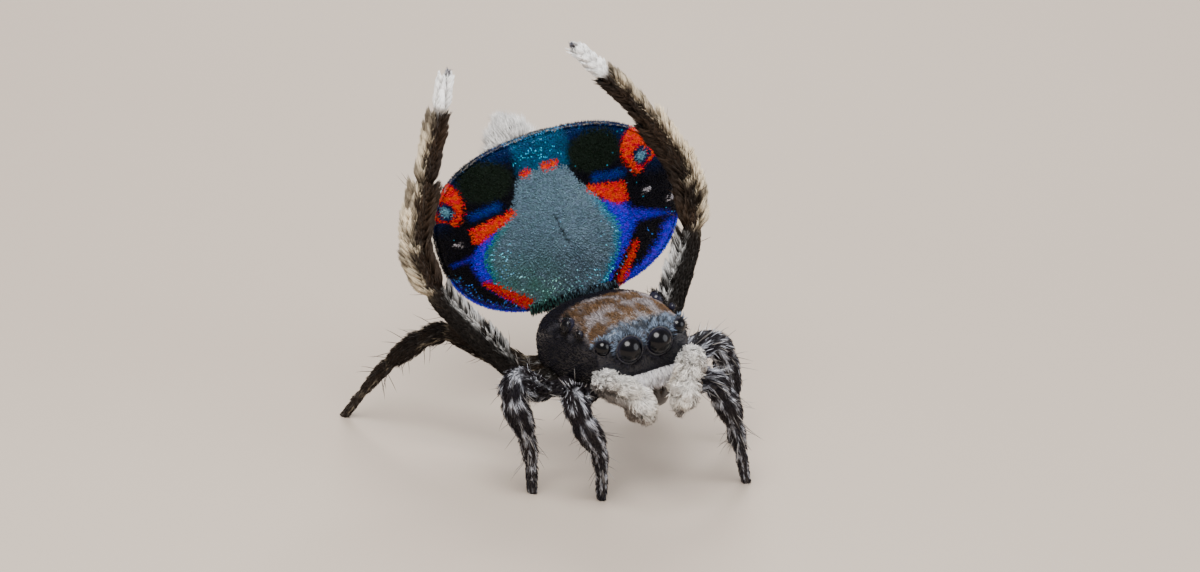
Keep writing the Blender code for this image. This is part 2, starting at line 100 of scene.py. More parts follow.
LEG_FILLET = 0.30
COXA_DEPTH = -0.50
COXA_SPREAD = 0.36
LEGS = {
    "leg_r1": (-0.42, WALKING_RADII, (
        (-0.60, -1.84, 1.26), (-0.87, -2.12, 1.54), (-0.80, -2.28, 1.28),
        (-0.46, -2.16, 0.84), (-0.28, -2.00, 0.42), (-0.16, -1.86, -0.06))),
    "leg_r2": (-0.10, WALKING_RADII, (
        (-0.82, -1.38, 1.22), (-1.46, -1.70, 1.62), (-1.50, -1.80, 1.40),
        (-1.22, -1.74, 0.90), (-1.04, -1.62, 0.44), (-0.92, -1.52, -0.06))),
    "leg_r3": (0.22, RAISED_RADII, (
        (-0.84, -0.92, 1.14), (-2.04, -0.52, 2.24), (-2.33, -0.42, 2.84),
        (-2.25, -0.36, 3.62), (-2.15, -0.30, 4.50), (-2.07, -0.28, 5.00))),
    "leg_r4": (0.54, HIND_RADII, (
        (-0.74, -0.56, 1.22), (-1.52, 0.00, 1.52), (-1.74, 0.20, 1.36),
        (-2.00, 0.50, 0.94), (-2.18, 0.80, 0.42), (-2.30, 1.06, -0.06))),
    "leg_l1": (-0.42, WALKING_RADII, (
        (0.58, -1.84, 1.36), (0.96, -2.08, 1.62), (1.16, -2.06, 1.38),
        (1.46, -1.94, 0.94), (1.66, -1.84, 0.46), (1.86, -1.74, -0.06))),
    "leg_l2": (-0.10, WALKING_RADII, (
        (0.84, -1.30, 1.46), (1.52, -1.06, 1.62), (1.74, -0.98, 1.36),
        (2.00, -0.80, 0.74), (2.12, -0.70, 0.38), (2.22, -0.62, -0.06))),
    "leg_l3": (0.22, RAISED_RADII, (
        (0.84, -0.98, 1.56), (1.25, -0.72, 2.92), (1.08, -0.70, 3.66),
        (0.47, -0.68, 4.42), (-0.19, -0.70, 5.03), (-0.70, -0.72, 5.44))),
    "leg_l4": (0.54, HIND_RADII, (
        (0.76, -0.52, 1.50), (1.30, -0.02, 1.74), (1.44, 0.18, 1.52),
        (1.62, 0.56, 0.98), (1.74, 0.88, 0.44), (1.84, 1.18, -0.06))),
}
PALP_JOINTS = (
    (0.36, -0.66, -0.46), (0.52, -0.80, -0.40), (0.58, -0.96, -0.31),
    (0.50, -1.12, -0.36), (0.36, -1.24, -0.46), (0.21, -1.28, -0.80),
)
PALP_RADII = (
    (0.120, 0.130, 0.140),
    (0.140, 0.150, 0.160),
    (0.160, 0.170, 0.170),
    (0.170, 0.170, 0.170),
    (0.170, 0.180, 0.075),
)
CHELICERA_JOINTS = ((0.165, -0.76, -0.36), (0.160, -0.80, -0.60), (0.150, -0.84, -0.86))
CHELICERA_RADII = ((0.140, 0.150, 0.150), (0.150, 0.130, 0.090))
FAN_CENTRE = Vector((-0.13, 0.10, 2.77))
FAN_TURN_DEG = -13.0
FAN_LEAN_DEG = 20.0
FAN_NOD_DEG = 2.0
FAN_HALF_WIDTH = 1.54
FAN_UP = 1.12
FAN_DOWN = 1.27
FAN_SQUARENESS_UP = 2.3
FAN_SQUARENESS_DOWN = 2.5
FAN_NOTCH = 0.10
FAN_NOTCH_WIDTH = 0.42
FAN_SWEEP_SIDE = 0.25
FAN_SWEEP_END = 0.24
FAN_RIM = 0.16
FAN_FLAP = 0.32
FAN_RIM_SLOPE = 2.5
SAC_CENTRE_Z = -0.05
SAC_HALF_WIDTH = 0.92
SAC_HALF_HEIGHT = 1.20
SAC_DEPTH = 0.90
SAC_FULLNESS = 0.95
PEDICEL_RADIUS = 0.12
PEDICEL_HEAD_END = (0.0, 0.84, -0.46)
PEDICEL_BEND = (0.0, 0.62, -1.44)
PEDICEL_SAC_END = (0.0, 0.60, -0.84)
SPINNERET_JOINTS = ((-0.24, 0.70, 0.50), (-0.26, 0.90, 0.78), (-0.30, 1.06, 0.98))
SPINNERET_RADII = ((0.290, 0.310, 0.290), (0.290, 0.220, 0.100))

# Colours, linear.
BLACK = np.array((0.0015, 0.0015, 0.004))
GREEN_BLACK = np.array((0.004, 0.008, 0.005))
NAVY = np.array((0.003, 0.012, 0.055))
BLUE_TEAL = np.array((0.006, 0.065, 0.140))
FIELD = np.array((0.092, 0.145, 0.190))
FIELD_PALE = np.array((0.160, 0.225, 0.285))
TEAL = np.array((0.012, 0.170, 0.190))
LAKE = np.array((0.030, 0.210, 0.340))
GREEN = np.array((0.020, 0.170, 0.090))
CYAN = np.array((0.100, 0.480, 0.700))
VIOLET = np.array((0.024, 0.001, 0.620))
# A painted glint colour, added to some fan scales to stand for light glinting off them.
PAINTED_GLINT_BLUE = np.array((0.120, 0.300, 0.900))
RED = np.array((0.560, 0.022, 0.004))
WHITE = np.array((0.900, 0.890, 0.880))
CREAM = np.array((0.680, 0.570, 0.410))
DARK_HAIR = np.array((0.009, 0.007, 0.006))
BROWN_HAIR = np.array((0.055, 0.030, 0.016))
GREY_HAIR = np.array((0.240, 0.225, 0.215))
FOREHEAD = np.array((0.180, 0.100, 0.048))
LAVENDER = np.array((0.620, 0.590, 0.640))
BLUE_WHITE = np.array((0.300, 0.400, 0.560))
FACE_DARK = np.array((0.006, 0.006, 0.012))
BACK_BROWN = np.array((0.095, 0.070, 0.052))
LEG_DARK = np.array((0.008, 0.008, 0.014))
LEG_PALE = np.array((0.660, 0.680, 0.760))
TIP_GREY = np.array((0.100, 0.100, 0.130))
CLAW_BROWN = np.array((0.020, 0.012, 0.010))
LENS_DARK = np.array((0.0008, 0.0008, 0.002))
LENS_EDGE = np.array((0.014, 0.014, 0.026))
RIM_DARK = np.array((0.012, 0.011, 0.016))
LASH_DARK = np.array((0.016, 0.015, 0.022))
JAW_DARK = np.array((0.008, 0.004, 0.003))
WAIST_BROWN = np.array((0.030, 0.020, 0.016))


def head_matrix():
    turn = Matrix.Rotation(math.radians(HEAD_PITCH_DEG), 4, "X")
    roll = Matrix.Rotation(math.radians(HEAD_ROLL_DEG), 4, "Y")
    spin = turn @ roll
    return Matrix.Translation(BIG_EYE_CENTRE - spin @ Vector((0.0, FACE_Y, 0.0))) @ spin


def fan_matrix():
    turn = Matrix.Rotation(math.radians(FAN_TURN_DEG), 4, "Z")
    nod = Matrix.Rotation(math.radians(FAN_NOD_DEG), 4, "X")
    lean = Matrix.Rotation(math.radians(-FAN_LEAN_DEG), 4, "Y")
    return Matrix.Translation(FAN_CENTRE) @ turn @ nod @ lean


HEAD = np.array(head_matrix())
FAN = np.array(fan_matrix())


def placed(matrix, points):
    return (points.reshape(-1, 3) @ matrix[:3, :3].T + matrix[:3, 3]).reshape(points.shape)


def turned(matrix, vectors):
    return (vectors.reshape(-1, 3) @ matrix[:3, :3].T).reshape(vectors.shape)


FAN_FACING = -turned(FAN, np.array((0.0, 1.0, 0.0)))


def unit(vectors):
    return vectors / np.maximum(np.linalg.norm(vectors, axis=-1, keepdims=True), 1e-9)


def smooth(edge0, edge1, value):
    t = np.clip((value - edge0) / (edge1 - edge0), 0.0, 1.0)
    return t * t * (3 - 2 * t)


def mix(a, b, share):
    share = np.asarray(share)[..., None]
    return a * (1 - share) + b * share


def column(values, count):
    """One value or a value for each of so many tufts, as a column."""
    return np.full(count, values)[:, None]


def ring_round(phi, out, side):
    """The ways outward at angles round a line, from two directions across it."""
    return np.cos(phi)[None, :, None] * out + np.sin(phi)[None, :, None] * side


WAVE_DIRECTIONS = np.array((
    (0.80, 0.36, 0.48), (-0.28, 0.90, 0.34), (0.42, -0.31, 0.85), (0.70, -0.66, -0.27),
    (-0.56, -0.33, 0.76), (0.15, 0.69, -0.71), (0.93, 0.22, -0.30)))
WAVE_RATES = (1.7, 2.3, 2.9, 3.6, 4.4, 5.3, 6.2)
WAVE_PHASE_STEP = 1.7
WAVE_WARP = 1.4
WAVE_WARP_RATE = 1.3
WAVE_WARP_STEP = 2.3
WAVE_SUM = 6


def waves(p, size, seed=0.0):
    """A smooth, repeatable ripple between -1 and 1 over points, with features of about the given size."""
    heights = (p / size) @ WAVE_DIRECTIONS.T
    total = np.zeros(len(p))
    for k, rate in enumerate(WAVE_RATES):
        warp = WAVE_WARP_RATE * heights[:, k - 3] + WAVE_WARP_STEP * k + WAVE_WARP_RATE * seed
        total += np.sin(rate * heights[:, k] + WAVE_PHASE_STEP * k + seed + WAVE_WARP * np.sin(warp))
    return total / WAVE_SUM


CORNER_SHARE = 0.48
CORNER_POINTS = 9
LIMB_SAMPLES = 160
LAST_SHARE = 0.9999


class Limb:
    """The construction's rounded path, sampled finely, with a side that stays outward or upward."""

    def __init__(self, joints, radii, reference, steady=False):
        joints = np.array(joints, float)
        points = [joints[0]]
        marks = [0]
        for before, corner, after in zip(joints, joints[1:], joints[2:]):
            back, ahead = before - corner, after - corner
            reach = min(LEG_FILLET, *(CORNER_SHARE * np.linalg.norm(way) for way in (back, ahead)))
            start = corner + reach * unit(back)
            end = corner + reach * unit(ahead)
            for t in np.linspace(0, 1, CORNER_POINTS):
                points.append((1 - t) ** 2 * start + 2 * t * (1 - t) * corner + t * t * end)
            marks.append(len(points) - 1 - CORNER_POINTS // 2)
        points.append(joints[-1])
        marks.append(len(points) - 1)
        points = np.array(points)
        lengths = np.concatenate([[0], np.cumsum(np.linalg.norm(np.diff(points, axis=0), axis=1))])
        self.radii = np.array(radii)
        self.joints = lengths[marks]
        self.s = np.linspace(0, lengths[-1], LIMB_SAMPLES)
        self.points = np.stack([np.interp(self.s, lengths, points[:, i]) for i in range(3)], 1)
        self.tangents = unit(np.gradient(self.points, axis=0))
        self.outs = np.zeros_like(self.points)
        out = reference = np.array(reference, float)
        for i, tangent in enumerate(self.tangents):
            out = reference if steady else out
            out = unit(out - out @ tangent * tangent)
            self.outs[i] = out

    def segment(self, s):
        """The number of the segment at a distance, and how far along the segment that is."""
        i = np.clip(np.searchsorted(self.joints, s, side="right") - 1, 0, len(self.radii) - 1)
        return i, np.clip((s - self.joints[i]) / (self.joints[i + 1] - self.joints[i]), 0, 1)

    def radius(self, s):
        i, share = self.segment(s)
        first, middle, last = np.moveaxis(self.radii[i], -1, 0)
        return (1 - share) * (1 - 2 * share) * first + 4 * share * (1 - share) * middle \
            + share * (2 * share - 1) * last

    def along(self, joint):
        i = min(int(joint), len(self.joints) - 2)
        return self.joints[i] + (joint - i) * (self.joints[i + 1] - self.joints[i])

    def joint_number(self, s):
        """The joint number at a distance, with the share of the segment as its fraction."""
        i, share = self.segment(s)
        return i + np.minimum(share, LAST_SHARE)

    def at(self, s):
        point, tangent, out = (
            np.stack([np.interp(s, self.s, field[:, i]) for i in range(3)], -1)
            for field in (self.points, self.tangents, self.outs)
        )
        tangent = unit(tangent)
        out = unit(out - np.sum(out * tangent, -1, keepdims=True) * tangent)
        return point, tangent, out, np.cross(tangent, out)

    def around(self, s, phi):
        """The line's place and direction at distances along it, and the ways outward at angles round it."""
        point, tangent, out, side = self.at(s)
        return point, tangent, np.cos(phi)[:, None] * out + np.sin(phi)[:, None] * side


ROOTS_PER_CELL = 3.2


class Skin:
    """A closed grid surface in space with its lie, colour, unwrap and tuft size at every point.

    A pole closes it at either end of its rows, or else the rows form a ring.
    """

    def __init__(self, grid, lie, colour, unwrap=0.0, size=1.0, ring=False):
        rows, cols = grid.shape[:2]
        self.points = grid.reshape(-1, 3)
        self.lie = np.broadcast_to(lie, grid.shape).reshape(-1, 3)
        self.colour = np.broadcast_to(colour, grid.shape).reshape(-1, 3)
        self.unwrap = np.broadcast_to(unwrap, (rows, cols, 2)).reshape(-1, 2)
        self.size = np.broadcast_to(size, (rows, cols)).reshape(-1)
        index = np.arange(rows * cols).reshape(rows, cols)
        if ring:
            index = np.concatenate([index, index[:1]])
        following = np.roll(index, -1, axis=1)
        a, b, c, d = index[:-1], following[:-1], following[1:], index[1:]
        halves = [np.stack(corners, -1).reshape(-1, 3) for corners in ((a, b, c), (a, c, d))]
        self.tris = np.concatenate(halves)
        if not ring:
            self.add_pole(index[0], True)
            self.add_pole(index[-1], False)
        self.find_normals()

    def add_pole(self, row, flip):
        pole = len(self.points)
        for name in ("points", "lie", "colour", "unwrap", "size"):
            values = getattr(self, name)
            setattr(self, name, np.concatenate([values, values[row].mean(axis=0)[None]]))
        fan = np.stack([row, np.roll(row, -1), np.full(len(row), pole)], -1)
        self.tris = np.concatenate([self.tris, fan[:, ::-1] if flip else fan])

    def corners(self):
        return (self.points[self.tris[:, i]] for i in range(3))

    def find_normals(self):
        a, b, c = self.corners()
        faces = np.cross(b - a, c - a)
        normals = np.zeros_like(self.points)
        for i in range(3):
            np.add.at(normals, self.tris[:, i], faces)
        if np.sum(a * np.cross(b, c)) < 0:
            self.tris = self.tris[:, ::-1]
            normals = -normals
        self.normals = unit(normals)

    def scatter(self, spacing, keep=None):
        """Even roots over the surface: one random point in each cell of a fine lattice."""
        a, b, c = self.corners()
        areas = 0.5 * np.linalg.norm(np.cross(b - a, c - a), axis=1)
        if keep is not None:
            areas = areas * keep(self)[self.tris].mean(axis=1)
        count = int(ROOTS_PER_CELL * areas.sum() / spacing ** 2)
        face = rng.choice(len(areas), size=count, p=areas / areas.sum())
        u, v = rng.random(count), rng.random(count)
        over = u + v > 1
        u[over], v[over] = 1 - u[over], 1 - v[over]
        weights = np.stack([1 - u - v, u, v], -1)
        fields = {name: np.einsum("ij,ij...->i...", weights, getattr(self, name)[self.tris[face]])
                  for name in ("points", "normals", "lie", "colour", "unwrap", "size")}
        cells = np.floor(fields["points"] / spacing).astype(int)
        _, chosen = np.unique(cells, axis=0, return_index=True)
        fields = {name: values[chosen] for name, values in fields.items()}
        fields["normals"] = unit(fields["normals"])
        return fields


def make_mesh(name, points, tris, colour=None, unwrap=None, smooth_faces=True):
    """A mesh object from arrays in millimetres, with its colour attribute and its OFBake map."""
    mesh = bpy.data.meshes.new(name)
    mesh.vertices.add(len(points))
    mesh.vertices.foreach_set("co", ((points - FOOTPRINT) * MM).astype(np.float32).ravel())
    mesh.loops.add(3 * len(tris))
    mesh.loops.foreach_set("vertex_index", tris.astype(np.int32).ravel())
    mesh.polygons.add(len(tris))
    mesh.polygons.foreach_set("loop_start", np.arange(0, 3 * len(tris), 3, dtype=np.int32))
    mesh.polygons.foreach_set("loop_total", np.full(len(tris), 3, dtype=np.int32))
    mesh.update(calc_edges=True)
    if smooth_faces:
        mesh.shade_smooth()
    if colour is not None:
        layer = mesh.attributes.new("marking", "FLOAT_COLOR", "POINT")
        values = np.concatenate([np.clip(colour, 0, 1), np.ones((len(points), 1))], axis=1)
        layer.data.foreach_set("color", values.astype(np.float32).ravel())
    if unwrap is not None:
        layer = mesh.uv_layers.new(name="OFBake")
        layer.data.foreach_set("uv", unwrap[tris.ravel()].astype(np.float32).ravel())
    made = bpy.data.objects.new(name, mesh)
    bpy.context.scene.collection.objects.link(made)
    return made


def finish_piece(piece, material):
    piece.data.materials.append(material)
    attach(piece, "root")


def joined(parts):
    """The points, triangles, colours and unwraps of several parts as one."""
    points, tris, colours, unwraps = zip(*parts)
    starts = np.cumsum([0] + [len(p) for p in points[:-1]])
    tris = [t + start for t, start in zip(tris, starts)]
    return tuple(np.concatenate(values) for values in (points, tris, colours, unwraps))


def skin_piece(name, skins, material, nodes=()):
    """One object of several skins whose roots are sunk in each other."""
    points, tris, colour, _ = joined([(s.points, s.tris, s.colour, s.unwrap) for s in skins])
    piece = make_mesh(name, points, tris, colour)
    finish_piece(piece, material)
    if nodes:
        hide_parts(*nodes)


COAT_LIMIT = 200000


def coat_piece(name, parts, material):
    """One object of several parts of a coat."""
    points, tris, colour, unwrap = joined(parts)
    assert len(tris) < COAT_LIMIT, name
    finish_piece(make_mesh(name, points, tris, colour, unwrap, smooth_faces=False), material)


# A hair: three points at the root, three at the middle and a tip, and their places on its patch.
PATCH = 0.003
HAIR_RING = np.array(((-0.5, 0.0), (0.5, 0.0), (0.0, 0.55)))
HAIR_TRIS = np.array((
    (0, 2, 1),
    (0, 1, 4), (0, 4, 3), (1, 2, 5), (1, 5, 4), (2, 0, 3), (2, 3, 5),
    (3, 4, 6), (4, 5, 6), (5, 3, 6)))
HAIR_PATCH = np.array((
    (-0.5, -0.5), (0.5, -0.5), (0.0, -0.3), (-0.4, 0.1), (0.4, 0.1), (0.0, 0.2), (0.0, 0.5)))
MIDDLE = 0.55
MIDDLE_SAG = 0.25
MIDDLE_SHIFT = 0.4
MIDDLE_WIDTH = 0.72
CLUMP_OFFSET = 0.3


def clump_shift(roots, direction, length, size, amount):
    """How far each hair's tip moves towards the middle of its clump's tips."""
    cells = np.floor(roots / size + CLUMP_OFFSET).astype(int)
    group = np.unique(cells, axis=0, return_inverse=True)[1].ravel()
    count = np.bincount(group)
    tips = roots + length[:, None] * direction
    middle = np.stack([np.bincount(group, tips[:, i]) / count for i in range(3)], -1)
    return amount * (middle[group] - tips)


def hairs(roots, direction, normals, length, width, bend, colour, unwrap, tip_colour=None, shift=0.0,
          curl=0.0, root_painted_shade=0.55):
    """Tapered three-sided hairs that bend towards the skin: seven points and ten triangles each."""
    count = len(roots)
    side = unit(np.cross(direction, normals))
    rise = unit(np.cross(side, direction))
    length, width, bend = (column(values, count) for values in (length, width, bend))
    sag = bend * length * normals
    wave = curl * rng.normal(0, 1, (count, 1)) * length * side if curl else 0.0
    middle = roots + MIDDLE * length * direction - MIDDLE_SAG * sag + MIDDLE_SHIFT * shift + wave
    points = np.empty((count, 7, 3))
    for k, (across, up) in enumerate(HAIR_RING):
        points[:, k] = roots + width * (across * side + up * rise)
        points[:, 3 + k] = middle + MIDDLE_WIDTH * width * (across * side + up * rise)
    points[:, 6] = roots + length * direction - sag + shift
    tris = (HAIR_TRIS[None] + 7 * np.arange(count)[:, None, None]).reshape(-1, 3)
    tips = colour if tip_colour is None else tip_colour
    shades = np.empty((count, 7, 3))
    # Painted shade: the three root points are darkened to stand for the shade among the hairs next to the
    # skin.
    shades[:, :3] = root_painted_shade * colour[:, None]
    shades[:, 3:6] = (0.5 * (colour + tips))[:, None]
    shades[:, 6] = tips
    patches = unwrap[:, None] + PATCH * HAIR_PATCH[None]
    return points.reshape(-1, 3), tris, shades.reshape(-1, 3), patches.reshape(-1, 2)


# A scale: root, tip, two corners, a ridge above and a keel below, and their places on its patch.
SCALE_TRIS = np.array((
    (0, 2, 4), (2, 1, 4), (1, 3, 4), (3, 0, 4), (2, 0, 5), (1, 2, 5), (3, 1, 5), (0, 3, 5)))
SCALE_PATCH = np.array(((0.0, -0.5), (0.0, 0.5), (-0.5, 0.0), (0.5, 0.0), (0.0, 0.1), (0.0, -0.1)))
RIDGE = 0.16
KEEL = 0.08


def scales(roots, direction, normals, length, width, colour, unwrap):
    """Flat pointed scales with a low ridge: six points and eight triangles each."""
    count = len(roots)
    side = unit(np.cross(direction, normals))
    rise = unit(np.cross(side, direction))
    length, width = column(length, count), column(width, count)
    middle = roots + MIDDLE * length * direction
    points = np.stack([
        roots, roots + length * direction, middle - 0.5 * width * side, middle + 0.5 * width * side,
        middle + RIDGE * width * rise, middle - KEEL * width * rise], 1)
    tris = (SCALE_TRIS[None] + 6 * np.arange(count)[:, None, None]).reshape(-1, 3)
    shades = np.repeat(colour, 6, axis=0)
    patches = unwrap[:, None] + PATCH * SCALE_PATCH[None]
    return points.reshape(-1, 3), tris, shades, patches.reshape(-1, 2)


def combed(f, spread_deg, lift_deg, lift_spread_deg):
    """The direction of each tuft: along the lie, turned and lifted a little at random."""
    normals = f["normals"]
    count = len(normals)
    lie = unit(f["lie"] - np.sum(f["lie"] * normals, -1, keepdims=True) * normals)
    side = np.cross(normals, lie)
    yaw = np.radians(rng.normal(0, spread_deg, count))[:, None]
    lift = np.radians(lift_deg + rng.normal(0, lift_spread_deg, count))[:, None]
    flat = np.cos(yaw) * lie + np.sin(yaw) * side
    return unit(np.cos(lift) * flat + np.sin(lift) * normals)


# Each coat: the spacing of its roots, a hair's length, width and lift, how the hairs vary and clump, and
# painted root shade.
COATS = {
    "back": {"spacing": 0.028, "length": 0.10, "width": 0.015, "lift_deg": 24, "spread_deg": 18,
             "shade": 0.3, "clump": 0.07},
    "walking": {"spacing": 0.0225, "length": 0.135, "width": 0.013, "lift_deg": 24, "bend": 0.15,
                "clump": 0.055, "gather": 0.55},
    "raised": {"spacing": 0.0225, "length": 0.12, "width": 0.014, "lift_deg": 24, "clump": 0.06},
    "forehead": {"spacing": 0.018, "length": 0.095, "width": 0.011, "lift_deg": 24, "spread_deg": 28,
                 "shade": 0.35, "sink": 0.004, "clump": 0.05, "gather": 0.5},
    "flank": {"spacing": 0.0235, "length": 0.07, "width": 0.012, "lift_deg": 16, "spread_deg": 18,
              "sink": 0.004},
    "under": {"spacing": 0.035, "length": 0.08, "width": 0.014, "lift_deg": 25, "whiten": 0.2},
    "palp": {"spacing": 0.0155, "length": 0.25, "width": 0.01, "lift_deg": 52, "bend": 0.45,
             "spread_deg": 38, "shade": 0.12, "clump": 0.17, "gather": 0.62, "curl": 0.12,
             "root_painted_shade": 0.75},
    "jaw": {"spacing": 0.05, "length": 0.07, "width": 0.01, "lift_deg": 30},
    "tail": {"spacing": 0.0165, "length": 0.27, "width": 0.011, "lift_deg": 30, "bend": 0.10,
             "spread_deg": 24, "clump": 0.08, "gather": 0.40, "curl": 0.06, "root_painted_shade": 0.75},
}
LIFT_SPREAD = 0.25


def coat(skin, spacing, length, width, lift_deg, keep=None, bend=0.25, spread_deg=14, shade=0.25,
         whiten=0.0, sink=0.006, clump=0.0, gather=0.6, curl=0.0, root_painted_shade=0.55):
    """Hairs over a skin, laid along its lie and varied a little."""
    f = skin.scatter(spacing, keep)
    count = len(f["points"])
    direction = combed(f, spread_deg, lift_deg, LIFT_SPREAD * lift_deg)
    lengths = length * f["size"] * rng.uniform(0.7, 1.25, count)
    widths = width * rng.uniform(0.75, 1.25, count)
    colour = f["colour"] * rng.uniform(1 - shade, 1 + shade, count)[:, None]
    roots = f["points"] - sink * f["normals"]
    tips = mix(colour, colour.max(axis=1, keepdims=True), whiten)
    shift = clump_shift(roots, direction, lengths, clump, gather) if clump else 0.0
    return hairs(roots, direction, f["normals"], lengths, widths, bend, colour, f["unwrap"], tips, shift,
                 curl, root_painted_shade)


# Materials.


def fill(tree, node, values):
    """Links each named input to the socket given for it, or gives it a uniform value."""
    for name, value in values.items():
        if isinstance(value, bpy.types.NodeSocket):
            tree.links.new(value, node.inputs[name])
        else:
            node.inputs[name].default_value = value
    return node


def base_material(name):
    made = bpy.data.materials.new(name)
    made.use_nodes = True
    tree = made.node_tree
    return made, tree, tree.nodes["Principled BSDF"]


def texture(tree, kind, values):
    """A texture over the object's own coordinates."""
    place = tree.nodes.new("ShaderNodeTexCoord")
    return fill(tree, tree.nodes.new(kind), {"Vector": place.outputs["Object"], **values})


def noise(tree, scale, detail=3.0):
    return texture(tree, "ShaderNodeTexNoise", {"Scale": scale, "Detail": detail, "Roughness": 0.6})


def remap(tree, value, low, high):
    ends = {"From Min": 0.3, "From Max": 0.7, "To Min": low, "To Max": high, "Value": value}
    return fill(tree, tree.nodes.new("ShaderNodeMapRange"), ends).outputs["Result"]


def marked_colour(tree, scale, low, high):
    """The marking attribute, lightened and darkened by a fine noise."""
    marking = tree.nodes.new("ShaderNodeAttribute")
    marking.attribute_name = "marking"
    grain = noise(tree, scale).outputs["Fac"]
    times = tree.nodes.new("ShaderNodeVectorMath")
    times.operation = "SCALE"
    fill(tree, times, {0: marking.outputs["Color"], "Scale": remap(tree, grain, low, high)})
    return times.outputs["Vector"], grain


def bump(tree, height, distance):
    values = {"Strength": 1.0, "Distance": distance, "Height": height}
    return fill(tree, tree.nodes.new("ShaderNodeBump"), values).outputs["Normal"]


def hair_material(name):
    made, tree, shader = base_material(name)
    colour, _ = marked_colour(tree, 9000.0, 0.8, 1.2)
    fill(tree, shader, {"Base Color": colour, "Roughness": 0.6, "Specular IOR Level": 0.16})
    return made


def cuticle_material(name, roughness=0.42, coat_weight=0.15):
    made, tree, shader = base_material(name)
    colour, fine = marked_colour(tree, 16000.0, 0.65, 1.35)
    fill(tree, shader, {
        "Base Color": colour, "Coat Weight": coat_weight, "Coat Roughness": 0.3,
        "Roughness": remap(tree, fine, roughness - 0.1, roughness + 0.15), "Normal": bump(tree, fine, 6e-6)})
    return made


def scale_material(name):
    """Iridescent scales: metallic colour whose hue and gloss change from grain to grain."""
    made, tree, shader = base_material(name)
    colour, fine = marked_colour(tree, 30000.0, 0.7, 1.35)
    cells = texture(tree, "ShaderNodeTexVoronoi", {"Scale": 32000.0}).outputs["Color"]
    turn = fill(tree, tree.nodes.new("ShaderNodeHueSaturation"), {
        "Saturation": 1.1, "Hue": remap(tree, cells, 0.49, 0.51), "Color": colour})
    fill(tree, shader, {
        "Base Color": turn.outputs["Color"], "Roughness": remap(tree, cells, 0.22, 0.5), "Metallic": 0.30,
        "Specular IOR Level": 0.12, "Normal": bump(tree, fine, 2e-6)})
    return made


def eye_material():
    made, tree, shader = base_material("eye_lens")
    colour, fine = marked_colour(tree, 4000.0, 0.8, 1.2)
    fill(tree, shader, {"Base Color": colour, "Roughness": 0.16, "Specular IOR Level": 0.26,
                        "Normal": bump(tree, fine, 4e-7)})
    return made


FLOOR_COLOURS = ((0.475, 0.400, 0.335, 1), (0.510, 0.435, 0.370, 1))


def floor_material():
    made, tree, shader = base_material("pale_floor")
    ramp = tree.nodes.new("ShaderNodeValToRGB")
    for element, colour in zip(ramp.color_ramp.elements, FLOOR_COLOURS):
        element.color = colour
    fill(tree, ramp, {"Fac": noise(tree, 90.0, 6.0).outputs["Fac"]})
    fill(tree, shader, {"Base Color": ramp.outputs["Color"], "Roughness": 0.85, "Specular IOR Level": 0.1})
    return made


# Fan.

PATTERN_X = -0.065
FIELD_SKEW = -0.09
FIELD_LEVELS = (-1.20, -1.08, -0.88, -0.60, -0.33, -0.20, 0.00, 0.15, 0.40, 0.66, 0.74)
FIELD_HALF_WIDTHS = (0.30, 0.48, 0.64, 0.79, 0.85, 0.83, 0.72, 0.61, 0.42, 0.31, 0.0)
# The violet band's width at levels, on the animal's left and on its right.
WIDE_BAND = ((-1.15, -0.80, -0.60, -0.42, -0.28, 0.05), (0.03, 0.08, 0.13, 0.22, 0.32, 0.26))
SLIM_BAND = ((-1.15, -0.85, -0.60, -0.17, 0.05), (0.02, 0.08, 0.17, 0.19, 0.14))
# Bars: both ends, the radius at each of them, and how far out the bar is cut off.
UNCUT = 9.0
FISSURE = (((0.02, 0.13), (0.08, -0.26), 0.003, 0.009, UNCUT),)
WEDGES = (
    ((0.95, -0.24), (1.38, -0.40), 0.075, 0.008, UNCUT),
    ((-1.30, -0.26), (-1.05, -0.20), 0.000, 0.020, UNCUT),
)
STREAKS = (((0.62, 0.40), (0.93, 0.34), 0.015, 0.010, UNCUT),)
RED_BARS = (
    ((0.52, 0.30), (0.84, 0.12), 0.042, 0.150, 0.935),
    ((-0.46, 0.28), (-0.94, 0.09), 0.035, 0.115, 1.005),
    ((0.06, 0.725), (0.19, 0.73), 0.050, 0.040, UNCUT),
    ((-0.22, 0.70), (-0.16, 0.72), 0.035, 0.035, UNCUT),
    ((0.90, -0.62), (0.60, -1.14), 0.040, 0.068, UNCUT),
    ((-0.96, -0.60), (-0.54, -1.01), 0.045, 0.082, UNCUT),
)
CREST_SPOT = (1.225, 0.455)
CREST_INNER = 0.115
CREST_TURNS = (-180, -150, -110, -80, 0, 40, 75, 110, 150, 180)
CREST_REACHES = (0.200, 0.195, 0.210, 0.110, 0.215, 0.300, 0.330, 0.345, 0.255, 0.205)
PALE_DOTS = ((1.19, 0.015, 0.045), (1.47, -0.22, 0.045))
EDGE_WANDER = 0.010
EDGE_GRAIN = 0.006


def bars(x, z, table):
    """Distance outside the nearest of some bars."""
    near = np.inf
    for (ax, az), (bx, bz), ra, rb, cut in table:
        share = ((x - ax) * (bx - ax) + (z - az) * (bz - az)) / ((bx - ax) ** 2 + (bz - az) ** 2)
        share = np.clip(share, 0, 1)
        away = np.hypot(x - ax - share * (bx - ax), z - az - share * (bz - az)) - (ra + share * (rb - ra))
        near = np.minimum(near, np.maximum(away, math.copysign(1, ax) * x - cut))
    return near


def power_sign(value, power):
    return np.sign(value) * np.abs(value) ** power


def fan_outline(angle):
    upper = np.sin(angle) > 0
    power = np.where(upper, 2 / FAN_SQUARENESS_UP, 2 / FAN_SQUARENESS_DOWN)
    x = power_sign(np.cos(angle), power) * FAN_HALF_WIDTH
    reach = np.where(upper, FAN_UP, FAN_DOWN - FAN_NOTCH * np.exp(-((x / FAN_NOTCH_WIDTH) ** 2)))
    return x, power_sign(np.sin(angle), power) * reach


